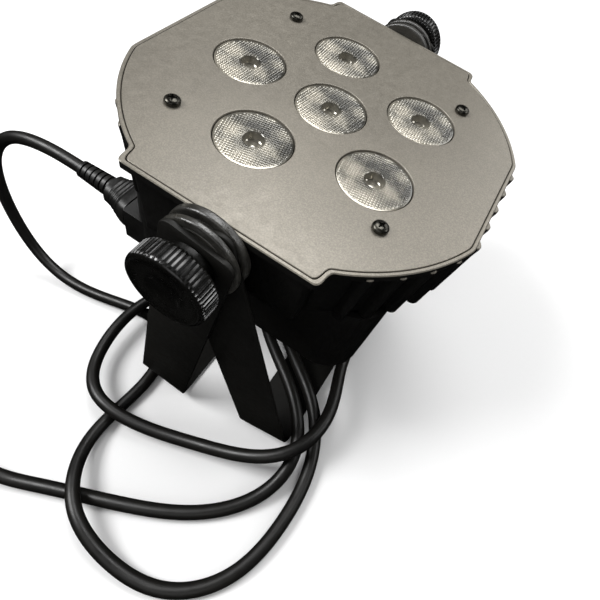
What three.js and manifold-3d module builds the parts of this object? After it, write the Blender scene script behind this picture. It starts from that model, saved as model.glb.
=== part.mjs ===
// A small LED par can light on a double floor yoke, with its mains lead.
// Millimetres, +Z up. The origin is on the floor, under the middle of the light's own box.
// The head is modelled in its own frame: its origin is where the yoke pivot axis (along Y) crosses the
// middle of the head, and its +Z comes out through the lenses. The head group is then tilted on that axis.
import * as THREE from "three";
import { mergeVertices } from "three/addons/utils/BufferGeometryUtils.js";
import Module from "manifold-3d";

const wasm = await Module();
wasm.setup();

// Clearances
const GAP = 0.3;
const CUT = 1;

// Head casting
const FACE_Z = 11.8;
const HEAD_TILT = THREE.MathUtils.degToRad(11.8);
const BACK_Z = -24.2;
const WALL = 2.5;
const PLATE_OUTLINE = { radius: 80, flat: 74.8, tab: 77, half: 37.5 };
const RIM_WIDTH = 1.8;
const RIM_DEPTH = 3.4;
const WALL_OUTLINE = { radius: 78, flat: 73.2, tab: 76.2, half: 36.5 };
const DRAFT = 0.035;
const RIB_PITCH = THREE.MathUtils.degToRad(360 / 42);
const RIBS_EACH_WAY = 6;
const RIBS_ON_FLAT = 2;
const RIB_WIDTH = 5;
const RIB_REACH = 82.6;
const RIB_REACH_ON_FLAT = 78.6;
const REAR_OPENING = { x: 52, y: 46, corner: 16 };
const BOSS_RADIUS = 11.4;

// Optics
const LENS_CIRCLE = 40;
const LENS_RADIUS = 15;
const LENS_COUNT = 6;
const BOARD_RADIUS = 57;
const BOARD_TOP = -4.9;
const BOARD_THICK = 1.6;

// Screws
const FACE_SCREW_CIRCLE = 62.6;
const SCREW_HOLE = 1.9;
const SCREW_SHANK = 1.6;
const SCREW_HEAD = 3.2;
const REAR_SCREW = { x: 38, y: 50 };

// Rear box and what is on it
const BOX = { x: 64, y: 58, corner: 18 };
const BOX_Z = -77;
const BOX_BEVEL = 4;
const PANEL = { x: 42, y: 19, centreY: 12, thick: 1.5 };
const WINDOW = { x: 15, y: 7, centreX: -20 };
const BUTTON_RADIUS = 3.4;
const BUTTON_XS = [6, 16, 26, 36];
const BUTTON_NAMES = ["menu_button", "down_button", "up_button", "enter_button"];
const INLET = { y: -43, z: -63, halfY: 13, halfZ: 9.5, depth: 20 };
const SOCKET = { z: -50, radius: 9.7, flange: 12.4, bore: 7.6, depth: 14 };
const DATA_IN_Y = -5;
const DATA_OUT_Y = 23;
const FUSE = { x: 36, y: -36, radius: 6.5 };
const LOOP = { x: -32, y: -36, radius: 11, wire: 2 };

// Pivot stacks and yokes, as distances from the middle of the head along Y
const STUD_RADIUS = 4;
const STUD_HOLE = 4.5;
const NUT = { from: 62, to: 70 };
const BOSS_Y = 78.6;
const INNER_WASHER = { from: 78.9, to: 82.3, radius: 16.35 };
const OUTER_WASHER = { from: 84.4, to: 87.1, radius: 16.2 };
const INNER_YOKE = { face: 84.1, thick: 1.5, reach: 137.5, bend: 7 };
const OUTER_YOKE = { face: 89.2, thick: 1.8, reach: 141.5, bend: 9 };
const YOKE_HALF_WIDTH = 14.5;
const YOKE_TOP = 11.5;
const YOKE_CORNER = 4.5;
const CLAMP_HOLE = 5.2;
const KNOB = { from: 89.5, collar: 94.4, to: 103.8, radius: 15.3, neck: 9.5 };

// How the light stands: both yokes lean out, and each rests on an edge of its crossbar
const OUTER_LEAN = THREE.MathUtils.degToRad(19.6);
const PIVOT_X = 0.3;
const PIVOT_Z = OUTER_YOKE.reach * Math.cos(OUTER_LEAN) + YOKE_HALF_WIDTH * Math.sin(OUTER_LEAN);
const INNER_DIAGONAL = Math.hypot(INNER_YOKE.reach, YOKE_HALF_WIDTH);
const INNER_LEAN = -Math.atan(YOKE_HALF_WIDTH / INNER_YOKE.reach) - Math.acos(PIVOT_Z / INNER_DIAGONAL);

// Mains lead
const CORD_RADIUS = 3.5;
const CORD_SIDES = 8;
const CORD_STEPS = 84;
const CONNECTOR = { from: -66.5, to: -84, halfY: 12, halfZ: 8.2, tipY: 7.5, tipZ: 6.2 };
const RELIEF = { from: -84.3, to: -104.7, wide: 5.8, narrow: 4.6 };
const PLUG = { x: -114, y: -176, z: 12, length: 38, halfY: 12.5, halfZ: 11, tip: 6 };
const CORD_ROUTE = [
  [-115.4, -43, 98],
  [-137, -43, 102.5],
  [-165, -46, 104],
  [-187, -52, 84],
  [-189, -58, 48],
  [-177, -62, 13],
  [-149, -64, 2.8],
  [-119, -61, 3.8],
  [-88, -54.5, 3.8],
  [-68, -60, 3.8],
  [-57, -77, 3.8],
  [-55, -99, 3.8],
  [-59, -120, 3.6],
  [-57, -143, 7],
  [-36, -167, 15.5],
  [-5, -174, 3.8],
  [25, -170, 3.6],
  [48, -148, 3.8],
  [54, -116, 4],
  [53, -86, 3.2],
  [41, -60, 13],
  [15, -40, 11.5],
  [-11, -18, 10.5],
  [-29, 8, 10.5],
  [-24, 33, 10.5],
  [-7, 50, 10.5],
  [16, 50, 10.5],
  [33, 33, 10.5],
  [36, 6, 10.5],
  [37, -28, 13],
  [50, -58, 18],
  [46, -87, 20.5],
  [26, -102, 16],
  [-6, -108, 7],
  [-41, -118, 8.5],
  [-71, -119, 15.5],
  [-91, -97, 9],
  [-93, -60, 15.5],
  [-83, -22, 3.4],
  [-74, 30, 4],
  [-71, 76, 3.6],
  [-46, 114, 3.6],
  [0, 124, 3.6],
  [36, 122, 3.8],
  [58, 109, 3.6],
  [64, 88, 5],
  [55, 68, 9],
  [33, 58, 12],
  [6, 56, 12],
  [-23, 52, 12],
  [-41, 26, 12],
  [-33, -8, 12],
  [-7, -36, 12],
  [23, -56, 13],
  [46, -84, 12.5],
  [39, -114, 3.4],
  [13, -138, 3.8],
  [-23, -152, 3.6],
  [-59, -164, 3.8],
  [-79, -172, 3.5],
  [-99, -176, 11.5],
  [-113.7, -176, 12],
];

const paint = (color, roughness, metalness = 0) => new THREE.MeshStandardMaterial({ color, roughness, metalness });
const CAST_BLACK = paint("#1b1a17", 0.62);
const FACE_GREY = paint("#8f8a7e", 0.45, 0.35);
const SHEET_BLACK = paint("#24221e", 0.55, 0.2);
const MOULDED_BLACK = paint("#141412", 0.4);
const SCREW_BLACK = paint("#26241f", 0.3, 0.8);
const STEEL = paint("#b9b8b4", 0.3, 0.95);
const ALUMINIUM = paint("#c4c3be", 0.4, 0.9);
const LENS_CLEAR = paint("#b6b1a3", 0.12);
const EMITTER = paint("#e8d36a", 0.5);
const BOARD_GREEN = paint("#1f4a33", 0.5);
const WINDOW_DARK = paint("#101418", 0.1);
const CORD_BLACK = paint("#161513", 0.5);

// ---- Solids: closing, joining and cutting ----

/** Turns a closed three.js geometry into a manifold solid. */
function solid(geometry) {
  const bare = geometry.clone();
  bare.deleteAttribute("normal");
  bare.deleteAttribute("uv");
  const merged = mergeVertices(bare, 1e-4);
  const vertProperties = merged.attributes.position.array;
  const triVerts = Uint32Array.from(merged.index.array);
  return new wasm.Manifold(new wasm.Mesh({ numProp: 3, vertProperties, triVerts }));
}

/** Turns a manifold solid back into a three.js geometry. */
function geometryOf(manifold) {
  const { vertProperties, triVerts } = manifold.getMesh();
  const geometry = new THREE.BufferGeometry();
  geometry.setAttribute("position", new THREE.BufferAttribute(Float32Array.from(vertProperties), 3));
  geometry.setIndex(new THREE.BufferAttribute(Uint32Array.from(triVerts), 1));
  geometry.computeVertexNormals();
  return geometry;
}

const union = (solids) => solids.reduce((sum, next) => sum.add(next));
const without = (body, cuts) => cuts.reduce((rest, cut) => rest.subtract(cut), body);

/** A box between two corners. */
function block([x0, y0, z0], [x1, y1, z1]) {
  const geometry = new THREE.BoxGeometry(x1 - x0, y1 - y0, z1 - z0);
  geometry.translate((x0 + x1) / 2, (y0 + y1) / 2, (z0 + z1) / 2);
  return solid(geometry);
}

/** A rod of one radius from one end to the other along an axis, through a point in the other two. */
function rod(axis, radius, from, to, centre, sides = 16) {
  const geometry = new THREE.CylinderGeometry(radius, radius, Math.abs(to - from), sides);
  geometry.translate(0, (from + to) / 2, 0);
  if (axis === "z") geometry.rotateX(Math.PI / 2);
  if (axis === "x") geometry.rotateZ(-Math.PI / 2);
  geometry.translate(...centre);
  return solid(geometry);
}

/** A turned solid about Z from [radius, z] points that start and end on the axis or close on themselves. */
function turned(profile, sides) {
  const points = profile.map(([radius, z]) => new THREE.Vector2(radius, z));
  const geometry = new THREE.LatheGeometry(points, sides);
  geometry.rotateX(Math.PI / 2);
  return solid(geometry);
}

/** Extrudes a flat shape between two heights. */
function slab(shape, from, to) {
  const geometry = new THREE.ExtrudeGeometry(shape, { depth: to - from, bevelEnabled: false, curveSegments: 5 });
  geometry.translate(0, 0, from);
  return geometry;
}

/** Draws the slab in towards its axis as it goes back from the face, as a casting's draft does. */
function drafted(geometry) {
  const position = geometry.attributes.position;
  for (let i = 0; i < position.count; i += 1) {
    const depth = (FACE_Z - position.getZ(i)) / (FACE_Z - BACK_Z);
    const scale = 1 - DRAFT * depth;
    position.setX(i, position.getX(i) * scale);
    position.setY(i, position.getY(i) * scale);
  }
  return solid(geometry);
}

/** A rectangle with round corners, given its half sizes. */
function roundedRectangle(x, y, corner) {
  const shape = new THREE.Shape();
  shape.moveTo(x, y - corner);
  shape.absarc(x - corner, y - corner, corner, 0, Math.PI / 2);
  shape.absarc(corner - x, y - corner, corner, Math.PI / 2, Math.PI);
  shape.absarc(corner - x, corner - y, corner, Math.PI, 1.5 * Math.PI);
  shape.absarc(x - corner, corner - y, corner, 1.5 * Math.PI, 2 * Math.PI);
  return shape;
}

/** The head's outline: a circle cut flat on its X sides, with a square-ended tab on each Y side. */
function faceOutline({ radius, flat, tab, half }, grow = 0) {
  const r = radius + grow;
  const notchX = half + grow + 1.5;
  const start = Math.acos((flat + grow) / r);
  const end = Math.acos(notchX / r);
  const steps = 5;
  const quarter = [];
  for (let i = 0; i <= steps; i += 1) {
    const angle = start + ((end - start) * i) / steps;
    quarter.push([r * Math.cos(angle), r * Math.sin(angle)]);
  }
  quarter.push([half + grow, r * Math.sin(end) + 2]);
  quarter.push([half + grow, tab + grow - 2]);
  quarter.push([half + grow - 2, tab + grow]);
  const back = [...quarter].reverse();
  const outline = [
    ...quarter,
    ...back.map(([x, y]) => [-x, y]),
    ...quarter.map(([x, y]) => [-x, -y]),
    ...back.map(([x, y]) => [x, -y]),
  ];
  return new THREE.Shape(outline.map(([x, y]) => new THREE.Vector2(x, y)));
}

// ---- The object ----

const light = new THREE.Group();
const head = new THREE.Group();
head.position.set(PIVOT_X, 0, PIVOT_Z);
head.rotation.y = HEAD_TILT;
light.add(head);

/** Adds one named piece to a group. */
function piece(group, name, material, manifold) {
  const mesh = new THREE.Mesh(geometryOf(manifold), material);
  mesh.name = name;
  group.add(mesh);
  return mesh;
}

const atCorners = (x, y) => [[x, y], [-x, y], [-x, -y], [x, -y]];
const screwDiagonal = FACE_SCREW_CIRCLE * Math.SQRT1_2;
const faceScrewPlaces = atCorners(screwDiagonal, screwDiagonal);
const rearScrewPlaces = atCorners(REAR_SCREW.x, REAR_SCREW.y);
const lensPlaces = [[0, 0]];
for (let i = 1; i < LENS_COUNT; i += 1) {
  const angle = (2 * Math.PI * (i - 1)) / (LENS_COUNT - 1);
  lensPlaces.push([-LENS_CIRCLE * Math.cos(angle), LENS_CIRCLE * Math.sin(angle)]);
}

/** One cooling rib: a bar from inside the wall out to a rounded nose. */
function rib(reach) {
  const nose = RIB_WIDTH / 2;
  const root = WALL_OUTLINE.radius - 10;
  const shape = new THREE.Shape();
  shape.moveTo(root, -nose);
  shape.lineTo(reach - nose, -nose);
  shape.absarc(reach - nose, 0, nose, -Math.PI / 2, Math.PI / 2);
  shape.lineTo(root, nose);
  return new THREE.ExtrudeGeometry(shape, { depth: FACE_Z - 2 - BACK_Z, bevelEnabled: false, curveSegments: 2 });
}

/** All the ribs, on both sides of the head. */
function ribs() {
  const all = [];
  for (let k = -RIBS_EACH_WAY; k <= RIBS_EACH_WAY; k += 1) {
    for (const side of [0, Math.PI]) {
      const onFlat = Math.abs(k) <= RIBS_ON_FLAT;
      const geometry = rib(onFlat ? RIB_REACH_ON_FLAT : RIB_REACH);
      geometry.translate(0, 0, BACK_Z);
      if (onFlat) geometry.translate(0, PLATE_OUTLINE.flat * Math.tan(k * RIB_PITCH), 0);
      geometry.rotateZ(onFlat ? side : side + k * RIB_PITCH);
      all.push(drafted(geometry));
    }
  }
  return all;
}

/** The die-cast front housing: drafted ribbed wall, rim, pivot bosses, screw posts and an open back. */
function housing() {
  const seat = FACE_Z - WALL - GAP / 2;
  const wall = drafted(slab(faceOutline(WALL_OUTLINE), BACK_Z, FACE_Z - 1));
  const rim = solid(slab(faceOutline(PLATE_OUTLINE, RIM_WIDTH), FACE_Z - RIM_DEPTH, FACE_Z));
  const bosses = [-1, 1].map((side) => rod("y", BOSS_RADIUS, side * (NUT.to + GAP), side * BOSS_Y, [0, 0, 0], 24));
  const cavity = drafted(slab(faceOutline(WALL_OUTLINE, -WALL), BACK_Z + WALL, seat));
  const recess = solid(slab(faceOutline(PLATE_OUTLINE, GAP), seat, FACE_Z + CUT));
  const innerBosses = [-1, 1].map((side) => rod("y", 9, side * (NUT.to + GAP), side * (BOSS_Y - 1), [0, 0, 0]));
  const posts = faceScrewPlaces.map(([x, y]) => rod("z", 4, BACK_Z + 1, seat, [x, y, 0], 12));
  const opening = roundedRectangle(REAR_OPENING.x, REAR_OPENING.y, REAR_OPENING.corner);
  const shell = union([wall, rim, ...bosses, ...ribs()]);
  const hollow = without(shell, [cavity, recess]);
  return without(union([hollow, ...innerBosses, ...posts]), [
    solid(slab(opening, BACK_Z - CUT, BACK_Z + WALL + CUT)),
    rod("y", STUD_HOLE, -BOSS_Y - CUT, BOSS_Y + CUT, [0, 0, 0]),
    ...faceScrewPlaces.map(([x, y]) => rod("z", SCREW_HOLE, BACK_Z - CUT, FACE_Z, [x, y, 0], 8)),
    ...rearScrewPlaces.map(([x, y]) => rod("z", SCREW_HOLE, BACK_Z - CUT, BACK_Z + WALL + CUT, [x, y, 0], 8)),
  ]);
}

/** The flat face plate with its lens and screw holes. */
function frontPlate() {
  const from = FACE_Z - WALL + GAP / 2;
  return without(solid(slab(faceOutline(PLATE_OUTLINE), from, FACE_Z)), [
    ...lensPlaces.map(([x, y]) => rod("z", LENS_RADIUS + 0.4, from - CUT, FACE_Z + CUT, [x, y, 0], 24)),
    ...faceScrewPlaces.map(([x, y]) => rod("z", SCREW_HOLE, from - CUT, FACE_Z + CUT, [x, y, 0], 8)),
  ]);
}

/** A collimator lens: flat front with a round well, a cone behind it and a cup over the emitter. */
function lens() {
  const front = FACE_Z - 0.5;
  return turned([
    [0, -0.3],
    [3, -0.8],
    [3.6, -2.9],
    [6.4, -2.9],
    [12.8, front - 3],
    [LENS_RADIUS, front - 2.2],
    [LENS_RADIUS, front],
    [4.4, front],
    [3.6, front - 3],
    [0, front - 3.4],
  ], 20);
}

/** One light emitter: a square-looking ceramic base with a dome. */
function emitter() {
  const base = BOARD_TOP + GAP;
  return turned([[0, base], [2.8, base], [2.8, base + 0.9], [1.9, base + 1.1], [1.1, base + 2], [0, base + 2.2]], 8);
}

/** A pan-head screw pointing down from its seat. */
function screw(seat, length) {
  return turned([
    [0, seat - length],
    [SCREW_SHANK, seat - length],
    [SCREW_SHANK, seat],
    [SCREW_HEAD, seat],
    [SCREW_HEAD, seat + 1],
    [2.1, seat + 1.9],
    [0, seat + 2.1],
  ], 12);
}

/** The heat sink: a disc behind the emitter board with straight fins into the rear box. */
function heatSink() {
  const top = BOARD_TOP - BOARD_THICK - GAP;
  const plate = rod("z", BOARD_RADIUS, top - 4, top, [0, 0, 0], 32);
  const fins = [];
  for (let x = -45; x <= 45; x += 15) {
    fins.push(block([x - 1, -35, top - 24], [x + 1, 35, top - 3]));
  }
  return union([plate, ...fins]);
}

/** The circuit boards, each with its parts soldered on. */
function board(halfX, halfY, top, centreY, parts) {
  const sheet = block([-halfX, centreY - halfY, top - BOARD_THICK], [halfX, centreY + halfY, top]);
  return union([sheet, ...parts]);
}

/** The deep rear box: a thin shell with posts for its screws and openings for all that is fitted in it. */
function rearCover() {
  const top = BACK_Z - GAP;
  const inside = WALL;
  const outline = roundedRectangle(BOX.x - BOX_BEVEL, BOX.y - BOX_BEVEL, BOX.corner - BOX_BEVEL);
  const bevelled = new THREE.ExtrudeGeometry(outline, {
    depth: top - BOX_Z,
    bevelThickness: BOX_BEVEL,
    bevelSize: BOX_BEVEL,
    bevelSegments: 2,
    curveSegments: 5,
  });
  bevelled.translate(0, 0, BOX_Z + BOX_BEVEL);
  const hollow = roundedRectangle(BOX.x - inside, BOX.y - inside, BOX.corner - inside);
  const posts = rearScrewPlaces.map(([x, y]) => rod("z", 4, BOX_Z + 1, top, [x, y, 0], 10));
  const shell = without(solid(bevelled), [
    block([-BOX.x - CUT, -BOX.y - CUT, top], [BOX.x + CUT, BOX.y + CUT, top + 20]),
    solid(slab(hollow, BOX_Z + inside, top + 21)),
  ]);
  const sideHole = (y) => rod("x", SOCKET.radius + GAP, -BOX.x - CUT, CUT + inside - BOX.x, [0, y, SOCKET.z], 20);
  const windowX = [WINDOW.centreX - WINDOW.x - GAP, WINDOW.centreX + WINDOW.x + GAP];
  const windowY = [PANEL.centreY - WINDOW.y - GAP, PANEL.centreY + WINDOW.y + GAP];
  const backHole = (x, y, radius) => rod("z", radius, BOX_Z - CUT, BOX_Z + inside + CUT, [x, y, 0], 12);
  return without(union([shell, ...posts]), [
    block(
      [-BOX.x - CUT, INLET.y - INLET.halfY - GAP, INLET.z - INLET.halfZ - GAP],
      [-BOX.x + INLET.depth, INLET.y + INLET.halfY + GAP, INLET.z + INLET.halfZ + GAP],
    ),
    sideHole(DATA_IN_Y),
    sideHole(DATA_OUT_Y),
    block([windowX[0], windowY[0], BOX_Z - CUT], [windowX[1], windowY[1], BOX_Z + inside + CUT]),
    ...BUTTON_XS.map((x) => backHole(x, PANEL.centreY, BUTTON_RADIUS + GAP)),
    backHole(FUSE.x, FUSE.y, 5.3),
    ...rearScrewPlaces.map(([x, y]) => rod("z", SCREW_HOLE, BOX_Z - CUT, top + CUT, [x, y, 0], 8)),
  ]);
}

/** The plate behind the box that frames the display and the buttons. */
function controlPanel() {
  const to = BOX_Z - GAP;
  const from = to - PANEL.thick;
  const shape = roundedRectangle(PANEL.x, PANEL.y, 4);
  const plate = slab(shape, from, to);
  plate.translate(0, PANEL.centreY, 0);
  const low = [WINDOW.centreX - WINDOW.x - GAP, PANEL.centreY - WINDOW.y - GAP, from - CUT];
  const high = [WINDOW.centreX + WINDOW.x + GAP, PANEL.centreY + WINDOW.y + GAP, to + CUT];
  return without(solid(plate), [
    block(low, high),
    ...BUTTON_XS.map((x) => rod("z", BUTTON_RADIUS + GAP, from - CUT, to + CUT, [x, PANEL.centreY, 0], 12)),
  ]);
}

/** The mains inlet: a block let into the side wall, hollow towards the connector. */
function mainsInlet() {
  const out = -BOX.x - 2;
  const body = block(
    [out, INLET.y - INLET.halfY, INLET.z - INLET.halfZ],
    [out + INLET.depth, INLET.y + INLET.halfY, INLET.z + INLET.halfZ],
  );
  return body.subtract(block(
    [out - CUT, INLET.y - INLET.halfY + 2.4, INLET.z - INLET.halfZ + 2.4],
    [out + INLET.depth - 3, INLET.y + INLET.halfY - 2.4, INLET.z + INLET.halfZ - 2.4],
  ));
}

/** A round data socket in the side wall, with contact pins in its bore when it is the plug side. */
function dataSocket(y, pins) {
  const face = -BOX.x - GAP;
  const back = face + SOCKET.depth;
  const barrel = rod("x", SOCKET.radius, face - 1, back, [0, y, SOCKET.z], 20);
  const flange = rod("x", SOCKET.flange, face - 1.7, face, [0, y, SOCKET.z], 20);
  const bore = rod("x", SOCKET.bore, face - 1.7 - CUT, back - 3, [0, y, SOCKET.z], 16);
  const socket = barrel.add(flange).subtract(bore);
  const contacts = [0, 1, 2].map((i) => {
    const angle = Math.PI / 6 + (i * 2 * Math.PI) / 3;
    const place = [0, y + 4 * Math.cos(angle), SOCKET.z + 4 * Math.sin(angle)];
    return rod("x", pins ? 1.1 : 1.9, face + 6, back - 2, place, 8);
  });
  return union([socket, ...contacts]);
}

/** The eyelet for the safety cable: a half ring of wire on a foot plate. */
function safetyLoop() {
  const top = BOX_Z - GAP;
  const foot = block([LOOP.x - 15, LOOP.y - 4, top - 1.6], [LOOP.x + 15, LOOP.y + 4, top]);
  const arc = new THREE.ExtrudeGeometry(roundSection(LOOP.wire, 8), {
    steps: 10,
    bevelEnabled: false,
    extrudePath: new HalfRing(LOOP.x, LOOP.y, top - 1, LOOP.radius),
  });
  return foot.add(solid(arc));
}

/** A closed round section for wires and leads. */
function roundSection(radius, sides) {
  const points = [];
  for (let i = 0; i < sides; i += 1) {
    const angle = (2 * Math.PI * i) / sides;
    points.push(new THREE.Vector2(radius * Math.cos(angle), radius * Math.sin(angle)));
  }
  return new THREE.Shape(points);
}

/** Half a ring that hangs below a height, in the X-Z plane. */
class HalfRing extends THREE.Curve {
  constructor(x, y, z, radius) {
    super();
    Object.assign(this, { x, y, z, radius });
  }

  getPoint(t, target = new THREE.Vector3()) {
    const angle = Math.PI * t;
    const { x, y, z, radius } = this;
    return target.set(x - radius * Math.cos(angle), y, z - radius * Math.sin(angle));
  }
}

/** The smooth curve of the lead: a cubic B-spline guided by its route's points. */
class LeadCurve extends THREE.Curve {
  constructor(route) {
    super();
    const points = route.map((point) => new THREE.Vector3(...point));
    const before = points[0].clone().multiplyScalar(2).sub(points[1]);
    const after = points.at(-1).clone().multiplyScalar(2).sub(points.at(-2));
    this.points = [before, ...points, after];
  }

  getPoint(t, target = new THREE.Vector3()) {
    const spans = this.points.length - 3;
    const span = Math.min(Math.floor(t * spans), spans - 1);
    const u = t * spans - span;
    const weights = [
      (1 - u) ** 3,
      3 * u ** 3 - 6 * u ** 2 + 4,
      -3 * u ** 3 + 3 * u ** 2 + 3 * u + 1,
      u ** 3,
    ];
    target.set(0, 0, 0);
    weights.forEach((weight, i) => target.addScaledVector(this.points[span + i], weight / 6));
    return target;
  }
}

/** A U-shaped yoke of bent flat bar, hanging down from the pivot, before it leans. */
function yoke({ face, thick, reach, bend }) {
  const outline = (y, bottom, radius) => {
    const shape = new THREE.Shape();
    shape.moveTo(-y, YOKE_TOP);
    shape.lineTo(-y, -bottom + radius);
    shape.absarc(-y + radius, -bottom + radius, radius, Math.PI, 1.5 * Math.PI);
    shape.absarc(y - radius, -bottom + radius, radius, 1.5 * Math.PI, 2 * Math.PI);
    shape.lineTo(y, YOKE_TOP);
    return shape;
  };
  const across = (shape, grow) => {
    const geometry = slab(shape, -YOKE_HALF_WIDTH - grow, YOKE_HALF_WIDTH + grow);
    geometry.rotateX(Math.PI / 2);
    geometry.rotateZ(Math.PI / 2);
    return solid(geometry);
  };
  const strap = across(outline(face, reach, bend), 0);
  const inside = across(outline(face - thick, reach - thick, bend - thick), CUT);
  const rise = block([-YOKE_HALF_WIDTH - CUT, -face + thick, YOKE_TOP - 1], [YOKE_HALF_WIDTH + CUT, face - thick, YOKE_TOP + CUT]);
  const ends = roundedRectangle(YOKE_HALF_WIDTH, (reach + YOKE_TOP) / 2 + 10, YOKE_CORNER);
  const trim = slab(ends, -face - CUT, face + CUT);
  trim.rotateX(Math.PI / 2);
  trim.translate(0, 0, YOKE_TOP - (reach + YOKE_TOP) / 2 - 10);
  return without(strap.subtract(inside).subtract(rise).intersect(solid(trim)), [
    rod("y", STUD_HOLE, -face - CUT, face + CUT, [0, 0, 0]),
    rod("z", CLAMP_HOLE, -reach - CUT, -reach + thick + CUT, [0, 0, 0]),
  ]);
}

/** A ring on the pivot axis, on one side of the head. */
function washer(side, { from, to, radius }) {
  const ring = rod("y", radius, side * from, side * to, [0, 0, 0], 28);
  return ring.subtract(rod("y", STUD_HOLE, side * (from - CUT), side * (to + CUT), [0, 0, 0]));
}

/** A hand knob: neck, thick rim and a shallow dimple in its face, bored for its stud. */
function knob(side) {
  const { from, collar, to, radius, neck } = KNOB;
  const body = turned([
    [0, to - 4],
    [STUD_HOLE, to - 4],
    [STUD_HOLE, from],
    [neck, from],
    [neck, collar],
    [radius - 0.6, collar + 0.1],
    [radius, collar + 0.8],
    [radius, to - 0.9],
    [radius - 0.8, to],
    [5, to],
    [3.6, to - 1],
    [0, to - 1.2],
  ], 30);
  return body.rotate([side > 0 ? -90 : 90, 0, 0]);
}

/** A block that narrows towards -X, from one rectangle to another, for moulded plugs. */
function tapered(from, to, centreY, centreZ, [wideY, wideZ], [endY, endZ]) {
  const geometry = slab(roundedRectangle(wideY, wideZ, Math.min(wideY, wideZ) * 0.5), 0, from - to);
  const position = geometry.attributes.position;
  for (let i = 0; i < position.count; i += 1) {
    const t = position.getZ(i) / (from - to);
    position.setX(i, position.getX(i) * (1 + (endY / wideY - 1) * t));
    position.setY(i, position.getY(i) * (1 + (endZ / wideZ - 1) * t));
  }
  geometry.rotateX(Math.PI / 2);
  geometry.rotateZ(-Math.PI / 2);
  geometry.translate(from, centreY, centreZ);
  return solid(geometry);
}

// ---- Head ----

piece(head, "housing", CAST_BLACK, housing());
piece(head, "front_plate", FACE_GREY, frontPlate());
lensPlaces.forEach(([x, y], i) => {
  piece(head, `lens_${i + 1}`, LENS_CLEAR, lens()).position.set(x, y, 0);
  piece(head, `led_${i + 1}`, EMITTER, emitter()).position.set(x, y, 0);
});
piece(head, "led_board", BOARD_GREEN, rod("z", BOARD_RADIUS, BOARD_TOP - BOARD_THICK, BOARD_TOP, [0, 0, 0], 32));
piece(head, "heat_sink", ALUMINIUM, heatSink());
piece(head, "rear_cover", CAST_BLACK, rearCover());
piece(head, "control_panel", MOULDED_BLACK, controlPanel());
piece(head, "display_window", WINDOW_DARK, block(
  [WINDOW.centreX - WINDOW.x, PANEL.centreY - WINDOW.y, BOX_Z - 1.6],
  [WINDOW.centreX + WINDOW.x, PANEL.centreY + WINDOW.y, BOX_Z + 1.4],
));
BUTTON_XS.forEach((x, i) => {
  const stem = rod("z", BUTTON_RADIUS, BOX_Z - 3.4, BOX_Z + 4, [x, PANEL.centreY, 0], 12);
  piece(head, BUTTON_NAMES[i], MOULDED_BLACK, stem);
});
piece(head, "control_board", BOARD_GREEN, board(44, 15, BOX_Z + 9, PANEL.centreY, [
  block([-36, PANEL.centreY - 9, BOX_Z + 8], [-4, PANEL.centreY + 9, BOX_Z + 13]),
  block([8, PANEL.centreY - 6, BOX_Z + 8], [20, PANEL.centreY + 6, BOX_Z + 10.5]),
]));
piece(head, "power_board", BOARD_GREEN, board(36, 32, -40, 0, [
  block([-28, -22, -42], [-4, -2, -33]),
  rod("z", 6, -42, -34, [14, -14, 0], 12),
  rod("z", 4, -42, -35, [24, 12, 0], 10),
  block([-24, 8, -42], [4, 22, -36]),
]));
piece(head, "mains_inlet", MOULDED_BLACK, mainsInlet());
piece(head, "data_in_socket", MOULDED_BLACK, dataSocket(DATA_IN_Y, true));
piece(head, "data_out_socket", MOULDED_BLACK, dataSocket(DATA_OUT_Y, false));
piece(head, "fuse_cap", MOULDED_BLACK, union([
  rod("z", FUSE.radius, BOX_Z - 3.3, BOX_Z - GAP, [FUSE.x, FUSE.y, 0], 16),
  rod("z", 5, BOX_Z - 1, BOX_Z + 20, [FUSE.x, FUSE.y, 0], 12),
]));
piece(head, "safety_loop", STEEL, safetyLoop());
faceScrewPlaces.forEach(([x, y], i) => {
  piece(head, `face_screw_${i + 1}`, SCREW_BLACK, screw(FACE_Z + GAP, 18)).position.set(x, y, 0);
});
rearScrewPlaces.forEach(([x, y], i) => {
  const rearScrew = piece(head, `rear_screw_${i + 1}`, SCREW_BLACK, screw(0, 58));
  rearScrew.rotation.x = Math.PI;
  rearScrew.position.set(x, y, BOX_Z - GAP);
});

// ---- Pivots, knobs and yokes ----

for (const [end, side] of [["near", -1], ["far", 1]]) {
  const nut = rod("y", 8, side * NUT.from, side * NUT.to, [0, 0, 0], 6);
  const nutHole = rod("y", STUD_HOLE, side * (NUT.from - CUT), side * (NUT.to + CUT), [0, 0, 0]);
  piece(head, `pivot_nut_${end}`, STEEL, nut.subtract(nutHole));
  piece(head, `inner_washer_${end}`, CAST_BLACK, washer(side, INNER_WASHER));
  const outerWasher = piece(light, `outer_washer_${end}`, CAST_BLACK, washer(side, OUTER_WASHER));
  const hub = piece(light, `knob_${end}`, MOULDED_BLACK, knob(side));
  const studEnds = [side * (NUT.from + 1), side * (KNOB.to - 4 - GAP)];
  const stud = piece(light, `stud_${end}`, STEEL, rod("y", STUD_RADIUS, ...studEnds, [0, 0, 0]));
  [outerWasher, hub, stud].forEach((mesh) => mesh.position.set(PIVOT_X, 0, PIVOT_Z));
}

for (const [name, size, lean] of [["outer_yoke", OUTER_YOKE, OUTER_LEAN], ["inner_yoke", INNER_YOKE, INNER_LEAN]]) {
  const strap = piece(light, name, SHEET_BLACK, yoke(size));
  strap.position.set(PIVOT_X, 0, PIVOT_Z);
  strap.rotation.y = lean;
}

// ---- Mains lead ----

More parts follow.
